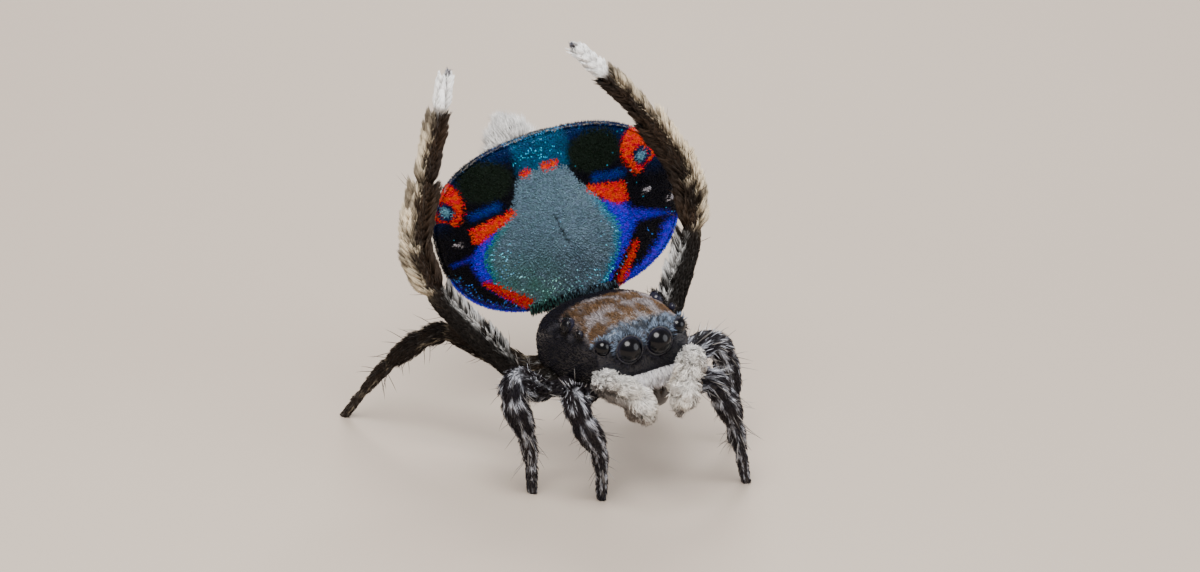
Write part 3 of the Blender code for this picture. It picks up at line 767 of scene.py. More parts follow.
def fan_share(x, z):
    """0 at the fan's middle and 1 on its outline."""
    n = np.where(z > 0, FAN_SQUARENESS_UP, FAN_SQUARENESS_DOWN)
    reach = np.where(z > 0, FAN_UP, FAN_DOWN)
    return (np.abs(x / FAN_HALF_WIDTH) ** n + np.abs(z / reach) ** n) ** (1 / n)


def fan_place(x, z, behind=False):
    """A root's place on the fan's unwrap, the face on one half of the map and the back on the other."""
    return np.stack([(0.75 if behind else 0.25) + 0.15 * x, 0.5 + 0.3 * z], -1)


def fan_colour(x, z):
    """The display's markings at points of the fan's own plane, in millimetres from its middle."""
    count = len(x)
    here = np.stack([x, z, x + z], -1)
    x = x - PATTERN_X + EDGE_WANDER * waves(here, 0.07) + rng.normal(0, EDGE_GRAIN, count)
    z = z + EDGE_WANDER * waves(here, 0.07, 2.0) + rng.normal(0, EDGE_GRAIN, count)
    side = np.abs(x)
    share = fan_share(x, z)
    # The dark blue rim along the top, and the blue column from the middle up to it.
    colour = mix(BLACK, NAVY, smooth(0.74, 0.92, share) * smooth(0.1, 0.5, z))
    pillar = smooth(0.40, 0.28, np.abs(x - 0.06)) * smooth(0.60, 0.72, z)
    colour = mix(colour, BLUE_TEAL, pillar * (0.75 + 0.25 * waves(here, 0.12, 7.0)))
    patch = smooth(1.1, 0.8, np.hypot((side - 0.69) / 0.36, (z - 0.72) / 0.26))
    colour = mix(colour, GREEN_BLACK, patch)
    # The grey-blue field, turquoise along its sides and greener at the lower right of the animal.
    middle = FIELD_SKEW * smooth(0.3, -0.2, z) * smooth(-1.2, -0.9, z)
    inside = np.interp(z, FIELD_LEVELS, FIELD_HALF_WIDTHS) - np.abs(x - middle)
    field = smooth(-0.012, 0.02, inside) * smooth(-1.20, -1.13, z)
    mottle = 0.5 + 0.5 * waves(here, 0.20, 3.0)
    tint = mix(FIELD, FIELD_PALE, 0.6 * mottle * smooth(-0.3, 0.4, x - 0.5 * z))
    edge = smooth(0.16, 0.02, inside) * smooth(0.35, 0.0, z)
    tint = mix(tint, mix(TEAL, LAKE, smooth(-0.1, 0.2, x)), 0.80 * edge)
    low = smooth(0.0, -0.9, z) * smooth(0.15, -0.45, x)
    tint = mix(tint, GREEN, 0.6 * low * (0.5 + 0.5 * waves(here, 0.15, 9.0)))
    colour = mix(colour, tint, field)
    colour = mix(colour, 0.15 * FIELD, 0.85 * smooth(0.014, 0.0, bars(x, z, FISSURE)) * field)
    # The violet band that borders the field, its wedge outward, and the violet lower rims.
    width = np.where(x > 0, np.interp(z, *WIDE_BAND), np.interp(z, *SLIM_BAND))
    band = smooth(0.015, -0.01, inside) * smooth(-width, -0.45 * width, inside) * smooth(0.16, 0.02, z)
    colour = mix(colour, VIOLET, band)
    colour = mix(colour, 0.7 * VIOLET, smooth(0.05, -0.04, bars(x, z, WEDGES)))
    inner_rim = np.where(x > 0, 0.865, 0.880)
    rim = smooth(0.0, 0.06, share - inner_rim + 0.015 * waves(here, 0.15, 6.0)) * smooth(-0.42, -0.60, z)
    colour = mix(colour, VIOLET, rim * smooth(0.50, 0.62, side))
    colour = mix(colour, 0.28 * VIOLET + 0.16 * TEAL, smooth(0.085, -0.03, bars(side, z, STREAKS)))
    # The red marks: two dots in the middle, a widening bar, a lower bar and a crest on each side.
    spot_x, spot_z = CREST_SPOT
    ring = np.hypot(side - spot_x, z - spot_z)
    turn = np.degrees(np.arctan2(z - spot_z, side - spot_x))
    crest = np.maximum(ring - np.interp(turn, CREST_TURNS, CREST_REACHES), CREST_INNER - ring)
    red = np.minimum(bars(x, z, RED_BARS), crest)
    colour = mix(colour, RED, smooth(0.010, -0.010, red))
    # The blue spot in the crest, and pale dots on the black sides.
    colour = mix(colour, NAVY, smooth(0.100, 0.080, ring))
    colour = mix(colour, 0.6 * FIELD_PALE + 0.25 * CYAN, smooth(0.072, 0.040, ring))
    for dot_x, dot_z, size in PALE_DOTS:
        dot = smooth(size, 0.4 * size, np.hypot(side - dot_x, z - dot_z))
        colour = mix(colour, 0.8 * LAVENDER, 0.8 * dot)
    return colour


def fan_painted_glints(x, z):
    """The share of scales painted brighter as glints of light: most on the violet rims, the turquoise edge
    and the top.
    """
    side = np.abs(x - PATTERN_X)
    share = fan_share(x, z)
    rims = smooth(0.84, 0.95, share) * smooth(-0.35, -0.6, z) * smooth(0.45, 0.7, side)
    crown = smooth(0.40, 0.1, side) * smooth(0.76, 0.84, z) * smooth(1.0, 0.9, z)
    top = smooth(0.93, 0.98, share) * smooth(0.3, 0.7, z) * smooth(0.9, 0.3, side)
    low = smooth(-0.6, -1.0, z) * smooth(0.75, 0.5, side)
    edge = smooth(0.45, 0.7, side) * smooth(0.95, 0.8, side) * smooth(0.0, -0.2, z) * smooth(-1.1, -0.9, z)
    return np.clip(0.004 + 0.40 * rims + 0.16 * crown + 0.24 * top + 0.14 * low + 0.09 * edge, 0, 0.5)


def fan_front(x, z):
    reach = np.where(z > 0, FAN_UP, FAN_DOWN)
    return FAN_SWEEP_SIDE * (x / FAN_HALF_WIDTH) ** 2 + FAN_SWEEP_END * (z / reach) ** 2


def fan_thickness(x, z, share):
    plate = FAN_RIM + (FAN_FLAP - FAN_RIM) * np.minimum(1.0, FAN_RIM_SLOPE * (1 - share))
    inside = 1 - (x / SAC_HALF_WIDTH) ** 2 - ((z - SAC_CENTRE_Z) / SAC_HALF_HEIGHT) ** 2
    return plate + SAC_DEPTH * np.maximum(0.0, inside) ** SAC_FULLNESS


SKIN_INSET = 0.03
FLOOR_CLEARANCE = 0.002
FAN_SHRINK = 1 - SKIN_INSET / 1.2
FAN_SPOKES = 300
FAN_RINGS = 90
ROUND_START = 0.93
ROUND_WIDTH = 0.07
ROUND_POWER = 2.5


def back_colour(points):
    """Grey hair behind, speckled with brown."""
    speckle = waves(points, 0.20, 4.0) + 0.8 * waves(points, 0.07, 2.0)
    return mix(GREY_HAIR, BACK_BROWN, 0.75 * smooth(-0.5, 0.9, speckle))


def fan_skin():
    """Front and back of the abdomen as one closed surface, from the middle of the face round the rim."""
    ox, oz = fan_outline(np.linspace(0, 2 * np.pi, FAN_SPOKES, endpoint=False))
    rows, colours, unwraps, lies = [], [], [], []
    front = np.sin(0.5 * np.pi * np.linspace(0.012, 1, FAN_RINGS))
    for k, share in enumerate([*front, *front[::-1][1:]]):
        behind = k >= FAN_RINGS
        x, z = share * ox, share * oz
        y = fan_front(x, z)
        rounding = 0.5 * FAN_RIM * np.maximum(0, (share - ROUND_START) / ROUND_WIDTH) ** ROUND_POWER
        if behind:
            y = y + fan_thickness(x, z, share) - SKIN_INSET - rounding
        else:
            y = y + SKIN_INSET + rounding
        rows.append(np.stack([FAN_SHRINK * x, y, FAN_SHRINK * z], -1))
        colours.append(back_colour(rows[-1]) if behind else fan_colour(x, z))
        unwraps.append(fan_place(x, z, behind))
        lie = [0.4 * x, 0.3 + 0 * x, z + 1.6] if behind else [x, 0 * x, z + 0.25]
        lies.append(np.stack(lie, -1))
    lie = turned(FAN, unit(np.stack(lies)))
    return Skin(placed(FAN, np.stack(rows)), lie, np.stack(colours), np.stack(unwraps))


FAN_SCALE_SPACING = 0.0172
FAN_SCALE_LENGTHS = (0.034, 0.048)
FAN_SCALE_WIDTHS = (0.020, 0.027)
FAN_SCALE_SINK = 0.004
RIM_SHARE = 0.985
# Colours of painted glints, added to some fan scales and to some fringe hairs on the rim.
PAINTED_GLINT_GREEN = np.array((0.35, 0.80, 0.55))
PAINTED_GLINT_RIM = (0.08, 0.18, 0.30)


def fan_scales(skin):
    """The display's scales, some of them painted brighter as glints of light."""
    inverse = np.linalg.inv(FAN)

    def front_only(s):
        local = placed(inverse, s.points)
        inside = fan_share(local[:, 0], local[:, 2]) < RIM_SHARE
        return ((s.normals @ FAN_FACING > 0.35) & inside).astype(float)

    f = skin.scatter(FAN_SCALE_SPACING, front_only)
    x, _, z = placed(inverse, f["points"]).T
    count = len(x)
    colour = fan_colour(x, z)
    # Painted glints: a share of the scales get a brighter colour mixed with cyan, blue or green, standing for
    # light glinting off them.
    painted_glint = rng.random(count) < fan_painted_glints(x, z)
    painted_glint &= colour[:, 0] < 3 * colour[:, 1]
    vary = np.where(colour[:, 0] > 4 * colour[:, 2], 0.14, 0.26)
    colour = colour * (1 + vary * rng.uniform(-1, 1, count))[:, None]
    glint = mix(CYAN, PAINTED_GLINT_BLUE, smooth(-0.2, -0.6, z) * smooth(0.45, 0.7, np.abs(x)))
    green = smooth(-0.3, -0.7, z) * smooth(0.3, -0.2, x) * smooth(-0.80, -0.60, x)
    glint = mix(glint, PAINTED_GLINT_GREEN, green * 0.7)
    flash = np.clip(colour * 1.5 + glint * rng.uniform(0.2, 1.1, count)[:, None], 0, 0.95)
    colour[painted_glint] = flash[painted_glint]
    direction = combed(f, spread_deg=22, lift_deg=14, lift_spread_deg=8)
    tilt = unit(f["normals"] + 0.18 * rng.normal(0, 1, (count, 3)))
    roots = f["points"] - FAN_SCALE_SINK * f["normals"]
    lengths = rng.uniform(*FAN_SCALE_LENGTHS, count)
    widths = rng.uniform(*FAN_SCALE_WIDTHS, count)
    return scales(roots, direction, tilt, lengths, widths, colour, f["unwrap"])


# Rows of the rim's fringe: share of the rim's thickness, length, and whether it has the back's colour.
RIM_ROWS = ((0.0, 0.040, False), (0.35, 0.050, False), (0.7, 0.050, True))
RIM_HAIRS = 1300
RIM_HAIR_WIDTH = 0.016
RIM_BEND = 0.1
RIM_COLOUR_SHARE = 0.97
LOW_HAIRS = 1100
LOW_HAIR_LENGTH = 0.070
LOW_HAIR_WIDTH = 0.013


def rim_hairs(depth, reach, behind):
    """One row of the fringe round the rim."""
    n = RIM_HAIRS
    ox, oz = fan_outline(2 * np.pi * (np.arange(n) + rng.random(n)) / n)
    x, z = FAN_SHRINK * ox, FAN_SHRINK * oz
    y = fan_front(ox, oz) + SKIN_INSET + 0.02 + depth * (FAN_RIM - 2 * SKIN_INSET)
    here = np.stack([x, y, z], -1)
    out = np.stack([x / FAN_HALF_WIDTH ** 2, 0.12 * (2 * depth - 1) + 0 * x, z / FAN_UP ** 2], -1)
    out = unit(out + 0.16 * rng.normal(0, 1, out.shape) * (1, 0.7, 1))
    marks = (ox * RIM_COLOUR_SHARE, oz * RIM_COLOUR_SHARE)
    tone = 0.3 * back_colour(here) if behind else fan_colour(*marks)
    # Painted glints: some front fringe hairs are brightened to stand for light glinting off them.
    flash = (rng.random(n) < fan_painted_glints(*marks)) & (not behind)
    tone = tone * rng.uniform(0.6, 1.4, n)[:, None]
    tone[flash] = np.clip(tone[flash] * 2 + PAINTED_GLINT_RIM, 0, 0.95)
    bottom = smooth(-0.8, -1.1, oz)[:, None] * smooth(0.65, 0.45, np.abs(ox))[:, None] * (not behind)
    tone = tone * (1 - bottom) + bottom * 0.25 * BLUE_WHITE * rng.uniform(0.0, 1.0, n)[:, None]
    length = reach * (1 + bottom[:, 0]) * rng.uniform(0.6, 1.2, n)
    return hairs(placed(FAN, here - 0.02 * out), turned(FAN, out), FAN_FACING, length, RIM_HAIR_WIDTH,
                 RIM_BEND, tone, fan_place(ox, oz, behind))


def low_hairs():
    """The dark hairs that hang over the fan's lower edge."""
    n = LOW_HAIRS
    x = rng.uniform(-0.60, 0.52, n)
    z = -FAN_DOWN * (1 - np.abs(x / FAN_HALF_WIDTH) ** FAN_SQUARENESS_DOWN) ** (1 / FAN_SQUARENESS_DOWN)
    z = (z + FAN_NOTCH * np.exp(-((x / FAN_NOTCH_WIDTH) ** 2))) * rng.uniform(0.86, 0.975, n)
    root = placed(FAN, np.stack([x, fan_front(x, z) + SKIN_INSET - 0.004, z], -1))
    across = 0.25 * x + 0.12 * rng.normal(0, 1, n)
    down = unit(np.stack([across, -0.25 + 0.1 * rng.normal(0, 1, n), np.full(n, -1.0)], -1))
    tone = mix(FIELD, GREEN, 0.5 * smooth(0.1, -0.4, x)) * rng.uniform(0.2, 1.5, n)[:, None]
    tone = mix(tone, BLACK, rng.random(n) < 0.55)
    length = LOW_HAIR_LENGTH * rng.uniform(0.5, 1.3, n)
    return hairs(root, turned(FAN, down), FAN_FACING, length, LOW_HAIR_WIDTH, RIM_BEND, tone, fan_place(x, z))


def build_fan(materials):
    skin = fan_skin()
    skin_piece("fan_skin", [skin], materials["scales"],
               ("abdomen", "fan_flap_left", "fan_flap_right"))
    coat_piece("fan_scale_coat", [fan_scales(skin)], materials["scales"])
    rows = [rim_hairs(*row) for row in RIM_ROWS] + [low_hairs()]
    coat_piece("fan_rim_fringe", rows, materials["scales"])

    def back_only(s):
        return (s.normals @ FAN_FACING < 0.1).astype(float)

    back = coat(skin, keep=back_only, **COATS["back"])
    coat_piece("abdomen_back_coat", [back], materials["hair"])


# Limbs.

LEG_END = 5.97
PALP_END = 4.97
SHORT_END = 1.98
PALP_INSET = 0.05
JAW_INSET = 0.004
PEDICEL_INSET = 0.01
TAIL_INSET = 0.05
LIMB_SIDES = 40
LIMB_STEP = 0.025
LEAST_ROWS = 8
WAIST_REACH = 0.045
END_ROUNDING = 0.9


def limb_place(limb, s, phi, band):
    """A root's place on the limb's unwrap: along it across the map, round it within the band."""
    low, high = band
    round_it = (phi / (2 * np.pi)) % 1
    return np.stack([0.02 + 0.96 * s / limb.s[-1], low + (high - low) * (0.03 + 0.94 * round_it)], -1)


def above_floor(points):
    points[..., 2] = np.maximum(points[..., 2], FLOOR_CLEARANCE)
    return points


def limb_skin(limb, first, last, inset, colour, band=(0.0, 1.0), shade=1.0, waist=0.10, size_of=None):
    """The cuticle of a limb between two joint numbers, drawn in a little at each joint."""
    start, end = limb.along(first), limb.along(last)
    s = np.linspace(start, end, max(LEAST_ROWS, int((end - start) / LIMB_STEP)))
    phi = np.linspace(0, 2 * np.pi, LIMB_SIDES, endpoint=False)
    point, tangent, out, side = limb.at(s)
    radius = limb.radius(s) - inset
    for joint in limb.joints[1:-1]:
        radius = radius * (1 - waist * np.exp(-((s - joint) / WAIST_REACH) ** 2))
    ends = np.minimum(1.0, np.minimum(s - start, end - s) / (END_ROUNDING * radius) + 0.02)
    radius = radius * np.sqrt(1 - (1 - ends) ** 2 + 1e-4)
    ring = ring_round(phi, out[:, None], side[:, None])
    grid = above_floor(point[:, None] + radius[:, None, None] * ring)
    s_grid, phi_grid = np.meshgrid(s, phi, indexing="ij")
    number = limb.joint_number(s_grid.ravel())
    if callable(colour):
        colour = colour(number, phi_grid.ravel(), grid.reshape(-1, 3)).reshape(grid.shape)
    size = size_of(number).reshape(s_grid.shape) if size_of else 1.0
    return Skin(grid, tangent[:, None], shade * colour, limb_place(limb, s_grid, phi_grid, band), size)


def walking_colour(number, phi, points):
    """Black legs with thin white lines along them and white patches by the joints."""
    lines = np.cos(6 * phi + 0.4 + 0.9 * waves(points, 0.30, 2.0))
    line = smooth(0.62, 0.92, lines) * smooth(-0.25, 0.20, waves(points, 0.11, 1.0))
    share = number - np.floor(number)
    rings = smooth(0.13, 0.0, share) + smooth(0.90, 1.0, share)
    spots = rings * smooth(-0.1, 0.3, np.cos(2 * phi + 0.8))
    pale = np.clip(0.85 * line + 0.8 * spots * smooth(1.5, 2.0, number), 0, 1) * smooth(0.8, 1.2, number)
    dark = mix(LEG_DARK, BROWN_HAIR, 0.12 + 0.12 * waves(points, 0.3, 3.0))
    return mix(dark, LEG_PALE, pale)


def hind_colour(number, phi, points):
    """Dark brown legs with faint lines and rings."""
    lines = smooth(0.80, 1.0, np.cos(3 * phi)) * smooth(0.0, 0.3, waves(points, 0.14, 4.0)) * 0.4
    rings = 0.35 * smooth(0.92, 1.0, number - np.floor(number))
    dark = mix(DARK_HAIR, BROWN_HAIR, 0.2 + 0.2 * waves(points, 0.25, 5.0))
    return mix(dark, CREAM, np.clip(lines + rings, 0, 1))


def raised_colour(number, phi, points):
    """Dark brown brushes with cream tufts on the outer side, and a pure white tarsus."""
    outer = np.cos(phi)
    patches = smooth(-0.25, 0.10, waves(points, 0.13, 2.0))
    cream = smooth(0.35, 0.65, outer + 0.25 * waves(points, 0.09, 6.0)) * (0.25 + 0.75 * patches)
    cream = cream * smooth(1.9, 2.1, number) * (1 - 0.25 * smooth(4.0, 4.6, number))
    inner = smooth(0.3, 0.7, -outer) * smooth(2.05, 1.75, number) * smooth(1.15, 1.4, number)
    inner = inner * smooth(-0.3, 0.2, waves(points, 0.07, 5.0))
    bands = smooth(0.10, 0.04, np.abs(number - 2.12)) + smooth(0.09, 0.03, np.abs(number - 2.92))
    bands = bands * smooth(-0.6, 0.1, outer) * smooth(-0.3, 0.1, waves(points, 0.12, 8.0))
    brown = (0.35 + 0.3 * waves(points, 0.3, 3.0)) * smooth(1.7, 2.3, number)
    dark = mix(DARK_HAIR, BROWN_HAIR, brown)
    colour = mix(dark, CREAM, np.clip(cream + 0.8 * bands, 0, 1))
    colour = mix(colour, 0.8 * WHITE, 0.8 * inner)
    colour = mix(colour, WHITE * 1.08, smooth(4.93, 5.02, number) * smooth(5.93, 5.80, number))
    return mix(colour, TIP_GREY, smooth(5.80, 5.92, number))


def leg_limb(name):
    along, radii, joints = LEGS[name]
    side = -1.0 if "_r" in name else 1.0
    seat = placed(HEAD, np.array((side * COXA_SPREAD, along, COXA_DEPTH)))
    raised = name.endswith("3")
    reference = (0.0, 0.0, 1.0)
    if raised:
        away = np.array(joints[2]) - np.array(FAN_CENTRE)
        reference = away - away @ FAN_FACING * FAN_FACING
    return Limb([seat, *joints], radii, reference, steady=raised)


CLAW_LENGTH = 0.055
CLAW_SPREAD = 0.022
CLAW_CURL = 0.030
CLAW_RISE = 0.012
CLAW_RADIUS = 0.010


def claws(limb, end):
    """Two small hooks at the end of a tarsus."""
    point, tangent, out, side = (value[0] for value in limb.at(np.array([end])))
    t = np.linspace(0, 1, 7)[:, None]
    radius = CLAW_RADIUS * (1 - 0.9 * t)
    ring = ring_round(np.linspace(0, 2 * np.pi, 8, endpoint=False), out, side)
    parts = []
    for turn in (-1, 1):
        centre = point + CLAW_LENGTH * t * tangent + turn * CLAW_SPREAD * side \
            - CLAW_CURL * t ** 2 * out + CLAW_RISE * out
        parts.append(Skin(above_floor(centre[:, None] + radius[:, None] * ring), tangent, CLAW_BROWN))
    return parts


# Spines and wisps: first and last joint, how many, length, width and lift.
WALKING_SPINES = (1.3, 4.9, 46, 0.30, 0.011, 55)
KNEE_WISPS = (1.5, 2.4, 90, 0.15, 0.007, 35)
RAISED_SPINES = (1.2, 3.9, 26, 0.30, 0.011, 55)
LIFT_SPREAD_DEG = 12
SPINE_ROOT = 0.7
SPINE_BEND = 0.12


def bristles(limb, colour, band, first, last, count, length, width, lift_deg):
    """Long single spines that stand out of the coat."""
    s = rng.uniform(limb.along(first), limb.along(last), count)
    phi = rng.uniform(0, 2 * np.pi, count)
    point, tangent, normal = limb.around(s, phi)
    lift = np.radians(lift_deg + rng.normal(0, LIFT_SPREAD_DEG, count))[:, None]
    direction = np.cos(lift) * tangent + np.sin(lift) * normal
    root = point + SPINE_ROOT * limb.radius(s)[:, None] * normal
    tone = colour * rng.uniform(0.6, 1.5, count)[:, None]
    length = length * rng.uniform(0.6, 1.2, count)
    return hairs(root, direction, normal, length, width, SPINE_BEND, tone, limb_place(limb, s, phi, band))


# Brushes of the raised legs: first and last joint, angles round the leg, hairs, reach, run and spread.
RAISED_BRUSHES = (
    (2.05, 3.97, (-35, 0, 35), 2300, 0.275, 0.20, 16),
    (2.05, 3.97, (145, 180, 215), 2000, 0.265, 0.20, 16),
    (4.00, 4.97, (-35, 0, 35), 800, 0.215, 0.18, 16),
    (4.00, 4.97, (145, 180, 215), 900, 0.205, 0.18, 16),
    (5.00, 5.90, (0, 72, 144, 216, 288), 1900, 0.155, 0.15, 36),
    (1.25, 2.00, (160, 180, 200), 700, 0.285, 0.16, 16),
)
BRUSH_INSET = 0.05
BRUSH_WIDTH = 0.016
BRUSH_CLUMP = 0.095
BRUSH_BEND = 0.10


def brush(limb, first, last, angles_deg, count, reach, run, spread_deg):
    """Dense long hairs along one side of a raised leg."""
    s = rng.uniform(limb.along(first), limb.along(last) - 0.5 * run, count)
    phi = np.radians(rng.choice(angles_deg, count) + rng.normal(0, spread_deg, count))
    point, tangent, normal = limb.around(s, phi)
    root = point + (limb.radius(s) - BRUSH_INSET)[:, None] * normal
    lump = 1 + 0.30 * waves(root, 0.15, 3.0)
    rise = (reach - limb.radius(s) + BRUSH_INSET) * rng.uniform(0.55, 1.1, count) * lump
    ahead = run * rng.uniform(0.7, 1.3, count)
    direction = rise[:, None] * normal + ahead[:, None] * tangent
    length = np.linalg.norm(direction, axis=1)
    direction = unit(direction)
    tone = raised_colour(limb.joint_number(s), phi, root) * rng.uniform(0.75, 1.25, count)[:, None]
    shift = clump_shift(root, direction, length, BRUSH_CLUMP, 0.7)
    place = limb_place(limb, s, phi, (0.0, 1.0))
    return hairs(root, direction, normal, length, BRUSH_WIDTH, BRUSH_BEND, tone, place, shift=shift)


def thinning(number):
    """A walking leg's hair length from its base to its tip."""
    return 0.6 + 0.4 * smooth(0.8, 1.3, number) - 0.45 * smooth(4.0, 5.5, number)


WALKERS = ("leg_r1", "leg_r2", "leg_r4", "leg_l1", "leg_l2", "leg_l4")
RAISED = ("leg_r3", "leg_l3")
WALKING_INSET = 0.045
RAISED_INSET = 0.040
COAT_START = 0.2
WALKING_CLAWS_BACK = 0.14
RAISED_CLAWS_BACK = 0.02


def build_legs(materials):
    skins, left_coat, right_coat, hooks, spines = [], [], [], [], []
    for k, name in enumerate(WALKERS):
        limb = leg_limb(name)
        hind = name.endswith("4")
        colour = hind_colour if hind else walking_colour
        band = ((k % 3) / 3, (k % 3 + 1) / 3)
        skins.append(limb_skin(limb, 0, LEG_END, WALKING_INSET, colour, band, shade=0.5))
        coloured = limb_skin(limb, COAT_START, LEG_END, WALKING_INSET, colour, band, size_of=thinning)
        points, *rest = coat(coloured, **COATS["walking"])
        (right_coat if "_r" in name else left_coat).append((above_floor(points), *rest))
        hooks += claws(limb, limb.s[-1] - WALKING_CLAWS_BACK)
        band = (k / len(LEGS), (k + 1) / len(LEGS))
        points, *rest = bristles(limb, DARK_HAIR * 2 if hind else GREY_HAIR, band, *WALKING_SPINES)
        spines.append((above_floor(points), *rest))
        if not hind:
            spines.append(bristles(limb, LEG_PALE, band, *KNEE_WISPS))
    for k, name in enumerate(RAISED, len(WALKERS)):
        limb = leg_limb(name)
        skins.append(limb_skin(limb, 0, LEG_END, RAISED_INSET, raised_colour, shade=0.5))
        hooks += claws(limb, limb.s[-1] - RAISED_CLAWS_BACK)
        coloured = limb_skin(limb, COAT_START, LEG_END, RAISED_INSET, raised_colour)
        rows = [coat(coloured, **COATS["raised"])]
        rows += [brush(limb, *row) for row in RAISED_BRUSHES]
        coat_piece(name + "_coat", rows, materials["hair"])
        spines.append(bristles(limb, BROWN_HAIR, (k / len(LEGS), (k + 1) / len(LEGS)), *RAISED_SPINES))
    nodes = [f"{name}_{part}" for name in WALKERS + RAISED for part in ("femur", "tibia", "foot")]
    skin_piece("leg_skins", skins, materials["cuticle"], nodes)
    coat_piece("right_legs_coat", right_coat, materials["hair"])
    coat_piece("left_legs_coat", left_coat, materials["hair"])
    coat_piece("leg_spines", spines, materials["hair"])
    skin_piece("claws", hooks, materials["jaw"])


# Head.

def smooth_stations(shares, passes=3):
    """The stations' widths, tops and depths at many shares, with their corners rounded off."""
    table = np.array(HEAD_STATIONS)
    values = np.stack([np.interp(shares, table[:, 0], table[:, i]) for i in (1, 2, 3)], -1)
    for _ in range(passes):
        values[1:-1] = 0.25 * values[:-2] + 0.5 * values[1:-1] + 0.25 * values[2:]
    return values


def head_colour(local):
    """Orange-brown patches between whitish lines above, pale blue over the big eyes, dark sides."""
    x, y, z = local.T
    ripple = waves(local, 0.13, 1.0)
    side = np.abs(x)
    level = z + 0.03 * ripple - 0.10 * smooth(-0.9, -0.2, y)
    top = smooth(0.04, 0.15, level) * smooth(0.24, 0.08, y + 0.3 * side ** 2 + 0.06 * ripple)
    blotch = waves(local, 0.21, 2.0) + 0.5 * waves(local, 0.08, 4.0)
    brown = mix(FOREHEAD, BROWN_HAIR, 0.40 + 0.60 * waves(local, 0.06, 2.0))
    # The whitish hair: a broken line each side and one behind, and patches between the brown ones.
    line = np.abs(side - (0.27 + 0.20 * (y + 0.95) + 0.08 * ripple))
    white = smooth(0.085, 0.02, line) * smooth(0.15, -0.05, y) * smooth(-0.5, 0.1, blotch)
    arch = np.abs(y - (0.02 - 0.30 * side ** 2 + 0.07 * ripple))
    white = np.maximum(white, smooth(0.10, 0.02, arch) * smooth(-0.6, 0.0, blotch))
    white = np.maximum(white, 0.90 * smooth(0.05, 0.35, blotch))
    rear = smooth(0.46, 0.56, side) * smooth(-0.60, -0.35, y) * smooth(0.2, 0.0, y)
    white = np.maximum(white, 0.8 * rear * smooth(-0.5, 0.2, ripple))
    white = white * (0.70 + 0.30 * waves(local, 0.035, 3.0))
    grey = mix(LAVENDER, 0.25 * LAVENDER, 0.5 + 0.5 * waves(local, 0.045, 8.0))
    colour = mix(FACE_DARK, mix(brown, grey, white), top)
    edge = smooth(0.60, 0.68, side + 0.03 * ripple) * smooth(0.3, -0.2, y) * smooth(-0.02, 0.1, z)
    colour = mix(colour, 0.6 * LAVENDER, 0.6 * edge * smooth(-0.2, 0.3, ripple))
    # Blue-grey mottled hair over and between the big eyes.
    front = smooth(-0.76, -0.90, y - 0.06 * ripple)
    band = smooth(0.15, 0.05, np.abs(z - 0.22)) * front * smooth(0.60, 0.42, side)
    colour = mix(colour, 0.4 * FACE_DARK + 0.08 * BLUE_WHITE, band)
    between = smooth(0.06, 0.02, side) * smooth(-0.12, 0.0, z) * smooth(-0.85, -0.93, y)
    blue = np.maximum(band, 0.6 * between) * smooth(-0.15, 0.45, waves(local, 0.05, 5.0))
    return mix(colour, BLUE_WHITE, 0.70 * blue)


HEAD_INSET = 0.018
HEAD_ROWS = 120
HEAD_SIDES = 160
FACE_ROWS = 16
FACE_SHARE = 0.06


def head_skin():
    inset = HEAD_INSET
    face_shares = np.linspace(0, FACE_SHARE, FACE_ROWS)[:-1]
    shares = np.concatenate([face_shares, np.linspace(FACE_SHARE, 1, HEAD_ROWS - FACE_ROWS + 1)])
    values = smooth_stations(shares)
    angle = np.linspace(0, 2 * np.pi, HEAD_SIDES, endpoint=False)
    ca, sa = (power_sign(f(angle), 2 / HEAD_SQUARENESS) for f in (np.cos, np.sin))
    face = 0.05 + 0.95 * np.sqrt(np.clip(1 - (1 - np.clip(shares / 0.03, 0, 1)) ** 2, 0, 1))
    width = values[:, 0] * HEAD_HALF_WIDTH - inset
    high = values[:, 1] * HEAD_TOP - inset
    low = -values[:, 2] * STERNUM_DEPTH + inset
    x = ca[None] * (width * face)[:, None]
    z = 0.5 * (high + low)[:, None] + sa[None] * (0.5 * (high - low) * face)[:, None]
    y = np.broadcast_to((FACE_Y + inset + shares * (HEAD_LENGTH - 2 * inset))[:, None], x.shape)
    local = np.stack([x, y, z], -1)
    colour = head_colour(local.reshape(-1, 3)).reshape(local.shape)
    share_grid, angle_grid = np.meshgrid(shares, angle, indexing="ij")
    unwrap = np.stack([0.02 + 0.96 * share_grid, 0.02 + 0.96 * angle_grid / (2 * np.pi)], -1)
    back = smooth(0.0, FACE_SHARE, share_grid)
    lie = np.stack([(1.2 - 0.95 * back) * x, 0.25 + 0.75 * back, (1.4 - 1.2 * back) * (z + 0.10)], -1)
    size = 0.50 + 0.50 * smooth(0.0, 0.3, share_grid)
    size = size * (1 + 0.35 * smooth(0.3, 0.6, z + 0.3) * smooth(0.1, 0.3, share_grid))
    return Skin(placed(HEAD, local), turned(HEAD, unit(lie)), colour, unwrap, size)


def eye_places():
    for side_name, side in (("right", -1.0), ("left", 1.0)):
        for kind, (radius, beside, behind, above) in EYES.items():
            local = np.array((side * beside, FACE_Y + behind, above))
            yield f"eye_{kind}_{side_name}", kind, side, radius, local


# Each kind of eye: the way it looks on the left, how far round the rim sits, and how many pale scales it has.
EYE_LOOKS = {
    "front_middle": ((0.0, -1.0, 0.0), 0.80, 260),
    "front_side": ((0.42, -1.0, 0.05), 0.80, 120),
    "rear_small": ((1.0, -0.1, 0.45), 0.72, 40),
    "rear_side": ((1.0, 0.15, 0.5), 0.72, 110),
}
RIM_THICKNESS = 0.075
LASH_WIDTH = 0.011
LASH_BEND = 0.2


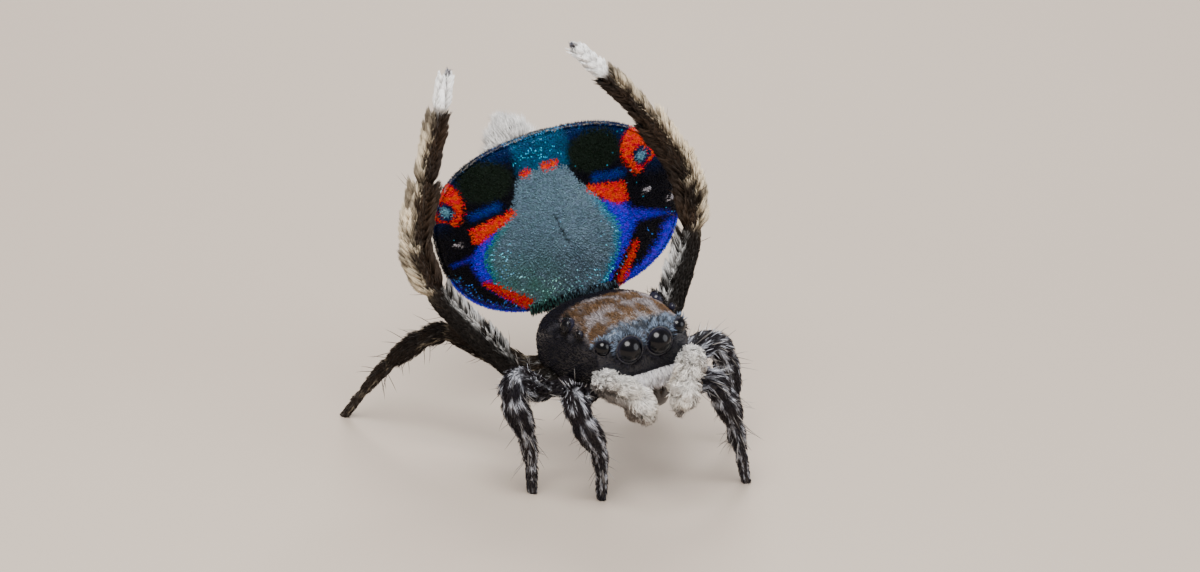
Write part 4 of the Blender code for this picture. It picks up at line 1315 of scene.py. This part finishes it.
def build_eyes(materials):
    rims, lashes = [], []
    theta = np.linspace(0.01, np.pi - 0.01, 40)[:, None, None]
    phi = np.linspace(0, 2 * np.pi, 56, endpoint=False)
    beta = np.linspace(0, 2 * np.pi, 12, endpoint=False)[:, None, None]
    lens_tone = mix(LENS_DARK, LENS_EDGE, smooth(0.85, 1.25, theta[..., 0]))
    for k, (name, kind, side, radius, local) in enumerate(eye_places()):
        look, edge, n = EYE_LOOKS[kind]
        look = unit(np.array(look) * (side, 1, 1))
        across = unit(np.cross((0.0, 0.0, 1.0), look))
        up = np.cross(look, across)
        ring = ring_round(phi, across, up)
        grid = local + radius * (np.cos(theta) * look + np.sin(theta) * ring)
        lens = Skin(placed(HEAD, grid), look, lens_tone)
        skin_piece(name + "_lens", [lens], materials["eye"], (name,))
        # A raised rim of cuticle round the lens.
        centre = local + radius * math.cos(edge * math.pi / 2) * look
        big = radius * math.sin(edge * math.pi / 2)
        small = RIM_THICKNESS * radius
        torus = centre + (big + small * np.cos(beta)) * ring + small * np.sin(beta) * look
        rims.append(Skin(placed(HEAD, torus), look, RIM_DARK, ring=True))
        # Pale scales that fan out round the lens.
        turn = rng.uniform(0, 2 * np.pi, n)
        out = np.cos(turn)[:, None] * across + np.sin(turn)[:, None] * up
        root = centre + 1.08 * big * out - 0.3 * small * look + 0.012 * rng.normal(0, 1, (n, 3))
        direction = unit(0.95 * out + 0.30 * look + 0.2 * rng.normal(0, 1, (n, 3)))
        tone = DARK_HAIR * 1.5
        if kind.startswith("front"):
            tone = mix(LASH_DARK, BLUE_WHITE, smooth(-0.2, 0.5, out[:, 2]) * 0.55)
        tone = tone * rng.uniform(0.5, 1.3, n)[:, None]
        cell = (0.125 + 0.25 * (k % 4), 0.25 + 0.5 * (k // 4))
        spot = np.array(cell) + 0.1 * np.stack([np.cos(turn), np.sin(turn)], -1)
        length = (0.040 + 0.10 * radius) * rng.uniform(0.7, 1.3, n)
        lashes.append(hairs(placed(HEAD, root), turned(HEAD, direction), turned(HEAD, look), length,
                            LASH_WIDTH, LASH_BEND, tone, spot))
    coat_piece("eye_scales", lashes, materials["hair"])
    skin_piece("eye_rims", rims, materials["cuticle"])


def far_from_eyes(points):
    """1 where a hair is clear of every lens, 0 on one."""
    clear = np.ones(len(points))
    for _, _, _, radius, local in eye_places():
        away = np.linalg.norm(points - placed(HEAD, local), axis=1)
        clear *= smooth(1.02 * radius, 1.12 * radius, away)
    return clear


def build_head(materials):
    skin = head_skin()
    full_colour = skin.colour
    skin.colour = 0.55 * full_colour
    skin_piece("carapace_skin", [skin], materials["cuticle"], ("cephalothorax",))
    skin.colour = full_colour
    inverse = np.linalg.inv(HEAD)

    def between(low, high):
        def keep(s):
            z = placed(inverse, s.points)[:, 2]
            return far_from_eyes(s.points) * (z >= low) * (z < high)
        return keep

    top = coat(skin, keep=between(0.03, 1.0), **COATS["forehead"])
    coat_piece("carapace_top_coat", [top], materials["hair"])
    flank = coat(skin, keep=between(-0.55, 0.03), **COATS["flank"])
    under = coat(skin, keep=between(-1.0, -0.55), **COATS["under"])
    coat_piece("carapace_side_coat", [flank, under], materials["hair"])


def palp_colour(number, phi, points):
    """White above and outside, with warm patches, and brown below and at the tip."""
    warm = 0.5 + 0.5 * waves(points, 0.16, 6.0)
    pale = mix(WHITE * 1.05, CREAM * 1.15, 0.60 * warm * smooth(1.5, 3.5, number))
    dark = smooth(4.60, 4.95, number) * 0.8
    under = smooth(0.35, 0.95, -np.cos(phi)) * 0.85
    return mix(pale, BROWN_HAIR, np.clip(np.maximum(dark, under), 0, 1))


FACE_HAIRS = 1500
FACE_HAIR_LENGTH = 0.21
FACE_HAIR_WIDTH = 0.010
FACE_HAIR_BEND = 0.2


def face_brush():
    """The white brush that hangs from the face over the jaws."""
    n = FACE_HAIRS
    x = rng.uniform(-0.60, 0.60, n)
    z = -0.33 - 0.12 * rng.random(n)
    y = FACE_Y - 0.005 + 0.02 * (x / 0.5) ** 2
    root = placed(HEAD, np.stack([x, y, z], -1))
    direction = np.stack([0.18 * x + 0.12 * rng.normal(0, 1, n), np.full(n, -0.55), np.full(n, -0.8)], -1)
    aim = turned(HEAD, unit(direction + 0.22 * rng.normal(0, 1, (n, 3))))
    tone = mix(LAVENDER * 1.2, WHITE, rng.random(n)) * rng.uniform(0.6, 1.05, n)[:, None]
    spot = np.stack([0.02 + 0.05 * rng.random(n), 0.5 + 0.4 * x], -1)
    front = turned(HEAD, np.array((0.0, -1.0, 0.0)))
    length = FACE_HAIR_LENGTH * rng.uniform(0.4, 1.3, n)
    shift = clump_shift(root, aim, length, size=0.13, amount=0.6)
    return hairs(root, aim, front, length, FACE_HAIR_WIDTH, FACE_HAIR_BEND, tone, spot, shift=shift,
                 curl=0.12, root_painted_shade=0.75)


def build_mouthparts(materials):
    palp_skins, coats, jaw_skins, jaw_coats = [], [], [], []
    forward = turned(HEAD, np.array((0.0, -0.6, 0.8)))
    for k, side in enumerate((-1.0, 1.0)):
        band = (0.5 * k, 0.5 * k + 0.5)
        palp = Limb(placed(HEAD, np.array(PALP_JOINTS) * (side, 1, 1)), PALP_RADII, forward)
        palp_skins.append(limb_skin(palp, 0, PALP_END, PALP_INSET, palp_colour, band, shade=0.6))
        coloured = limb_skin(palp, 0.8, PALP_END, PALP_INSET, palp_colour, band)
        coats.append(coat(coloured, **COATS["palp"]))
        jaw = Limb(placed(HEAD, np.array(CHELICERA_JOINTS) * (side, 1, 1)), CHELICERA_RADII, forward)
        jaw_skins.append(limb_skin(jaw, 0, SHORT_END, JAW_INSET, JAW_DARK, waist=0))
        haired = limb_skin(jaw, COAT_START, 1.6, JAW_INSET, BROWN_HAIR, band, waist=0)
        jaw_coats.append(coat(haired, **COATS["jaw"]))
    coat_piece("palp_coat", coats, materials["hair"])
    skin_piece("palp_skins", palp_skins, materials["cuticle"],
               ("palp_arm_right", "palp_bulb_right", "palp_arm_left", "palp_bulb_left"))
    skin_piece("chelicera_skins", jaw_skins, materials["jaw"], ("chelicera_right", "chelicera_left"))
    coat_piece("chelicera_hairs", jaw_coats, materials["hair"])
    coat_piece("face_brush", [face_brush()], materials["hair"])


def tail_colour(number, phi, points):
    return mix(WHITE * 1.05, GREY_HAIR, 0.3 + 0.3 * waves(points, 0.1, 3.0))


def build_waist_and_tail(materials):
    start = placed(HEAD, np.array(PEDICEL_HEAD_END))
    bend, end = placed(FAN, np.array([PEDICEL_BEND, PEDICEL_SAC_END]))
    even = (PEDICEL_RADIUS,) * 3
    pedicel = Limb([start, bend, end], (even, even), (0.0, 0.0, 1.0))
    skin = limb_skin(pedicel, 0, SHORT_END, PEDICEL_INSET, WAIST_BROWN)
    skin_piece("pedicel_skin", [skin], materials["cuticle"], ("pedicel",))
    tail = Limb(placed(FAN, np.array(SPINNERET_JOINTS)), SPINNERET_RADII, (0.0, -1.0, 0.0))
    skin = limb_skin(tail, 0, SHORT_END, TAIL_INSET, tail_colour, shade=0.5)
    skin_piece("spinneret_skin", [skin], materials["cuticle"], ("spinnerets",))
    tuft = coat(limb_skin(tail, 0.4, SHORT_END, TAIL_INSET, tail_colour), **COATS["tail"])
    coat_piece("spinneret_coat", [tuft], materials["hair"])


# Camera, light and floor.

CAMERA_AZ_DEG = -28.0
CAMERA_EL_DEG = 22.0
CAMERA_ROLL_DEG = 7.0
PX_PER_MM = 82.0
IMAGE_W, IMAGE_H = 1200, 572
ORIGIN_PX = (548.0, 438.0)
CAMERA_DISTANCE = 100.0
MID_DEPTH = 1.5
SENSOR_MM = 36.0
AIM_HEIGHT = 2.5
FLOOR_HALF = 400.0
WORLD_COLOUR = (0.80, 0.76, 0.73, 1)
WORLD_STRENGTH = 0.55
# Each lamp: direction, distance, size, power and colour.
LAMPS = {
    "key": ((-0.55, -0.70, 1.25), 40.0, 26.0, 0.030, (1.0, 0.98, 0.95)),
    "fill": ((1.0, -0.9, 0.5), 45.0, 34.0, 0.012, (0.93, 0.96, 1.0)),
    "rim": ((0.5, 1.0, 0.9), 40.0, 24.0, 0.016, (1.0, 1.0, 1.0)),
}


def camera_axes():
    a, e, r = (math.radians(v) for v in (CAMERA_AZ_DEG, CAMERA_EL_DEG, CAMERA_ROLL_DEG))
    level = np.array((math.cos(a), math.sin(a), 0.0))
    upright = np.array((-math.sin(a) * math.sin(e), math.cos(a) * math.sin(e), math.cos(e)))
    back = np.array((math.sin(a) * math.cos(e), -math.cos(a) * math.cos(e), math.sin(e)))
    right = math.cos(r) * level + math.sin(r) * upright
    up = -math.sin(r) * level + math.cos(r) * upright
    return right, up, back


def build_camera():
    right, up, back = camera_axes()
    data = bpy.data.cameras.new("camera")
    data.sensor_width = SENSOR_MM
    data.lens = SENSOR_MM * CAMERA_DISTANCE * PX_PER_MM / IMAGE_W
    data.clip_start = 0.005
    data.clip_end = 20.0
    camera = bpy.data.objects.new("camera", data)
    bpy.context.scene.collection.objects.link(camera)
    scale = PX_PER_MM * CAMERA_DISTANCE / (CAMERA_DISTANCE - MID_DEPTH)
    aim = (IMAGE_W / 2 - ORIGIN_PX[0]) / scale * right + (ORIGIN_PX[1] - IMAGE_H / 2) / scale * up
    matrix = np.eye(4)
    matrix[:3] = np.stack([right, up, back, (aim + CAMERA_DISTANCE * back - FOOTPRINT) * MM], 1)
    camera.matrix_world = Matrix(matrix)
    bpy.context.scene.camera = camera


def area_light(name, direction, distance, size, power, colour):
    data = bpy.data.lights.new(name, "AREA")
    data.shape = "DISK"
    data.size = size * MM
    data.energy = power
    data.color = colour
    lamp = bpy.data.objects.new(name, data)
    bpy.context.scene.collection.objects.link(lamp)
    direction = Vector(direction).normalized()
    lamp.location = Vector((0.0, 0.0, AIM_HEIGHT * MM)) + direction * distance * MM
    lamp.rotation_mode = "QUATERNION"
    lamp.rotation_quaternion = direction.to_track_quat("Z", "Y")


def build_stage():
    corners = np.array(((-1, -1, 0), (1, -1, 0), (1, 1, 0), (-1, 1, 0)))
    floor = make_mesh("floor", FLOOR_HALF * corners + FOOTPRINT, np.array(((0, 1, 2), (0, 2, 3))))
    floor.data.materials.append(floor_material())
    world = bpy.data.worlds.new("studio")
    world.use_nodes = True
    tree = world.node_tree
    fill(tree, tree.nodes["Background"], {"Color": WORLD_COLOUR, "Strength": WORLD_STRENGTH})
    bpy.context.scene.world = world
    for name, lamp in LAMPS.items():
        area_light(name, *lamp)


def main():
    materials = {
        "scales": scale_material("iridescent_scales"),
        "hair": hair_material("coat_hair"),
        "cuticle": cuticle_material("cuticle"),
        "jaw": cuticle_material("jaw_cuticle", roughness=0.28, coat_weight=0.5),
        "eye": eye_material(),
    }
    build_camera()
    build_stage()
    for build in (build_fan, build_legs, build_head, build_eyes, build_mouthparts, build_waist_and_tail):
        build(materials)


main()
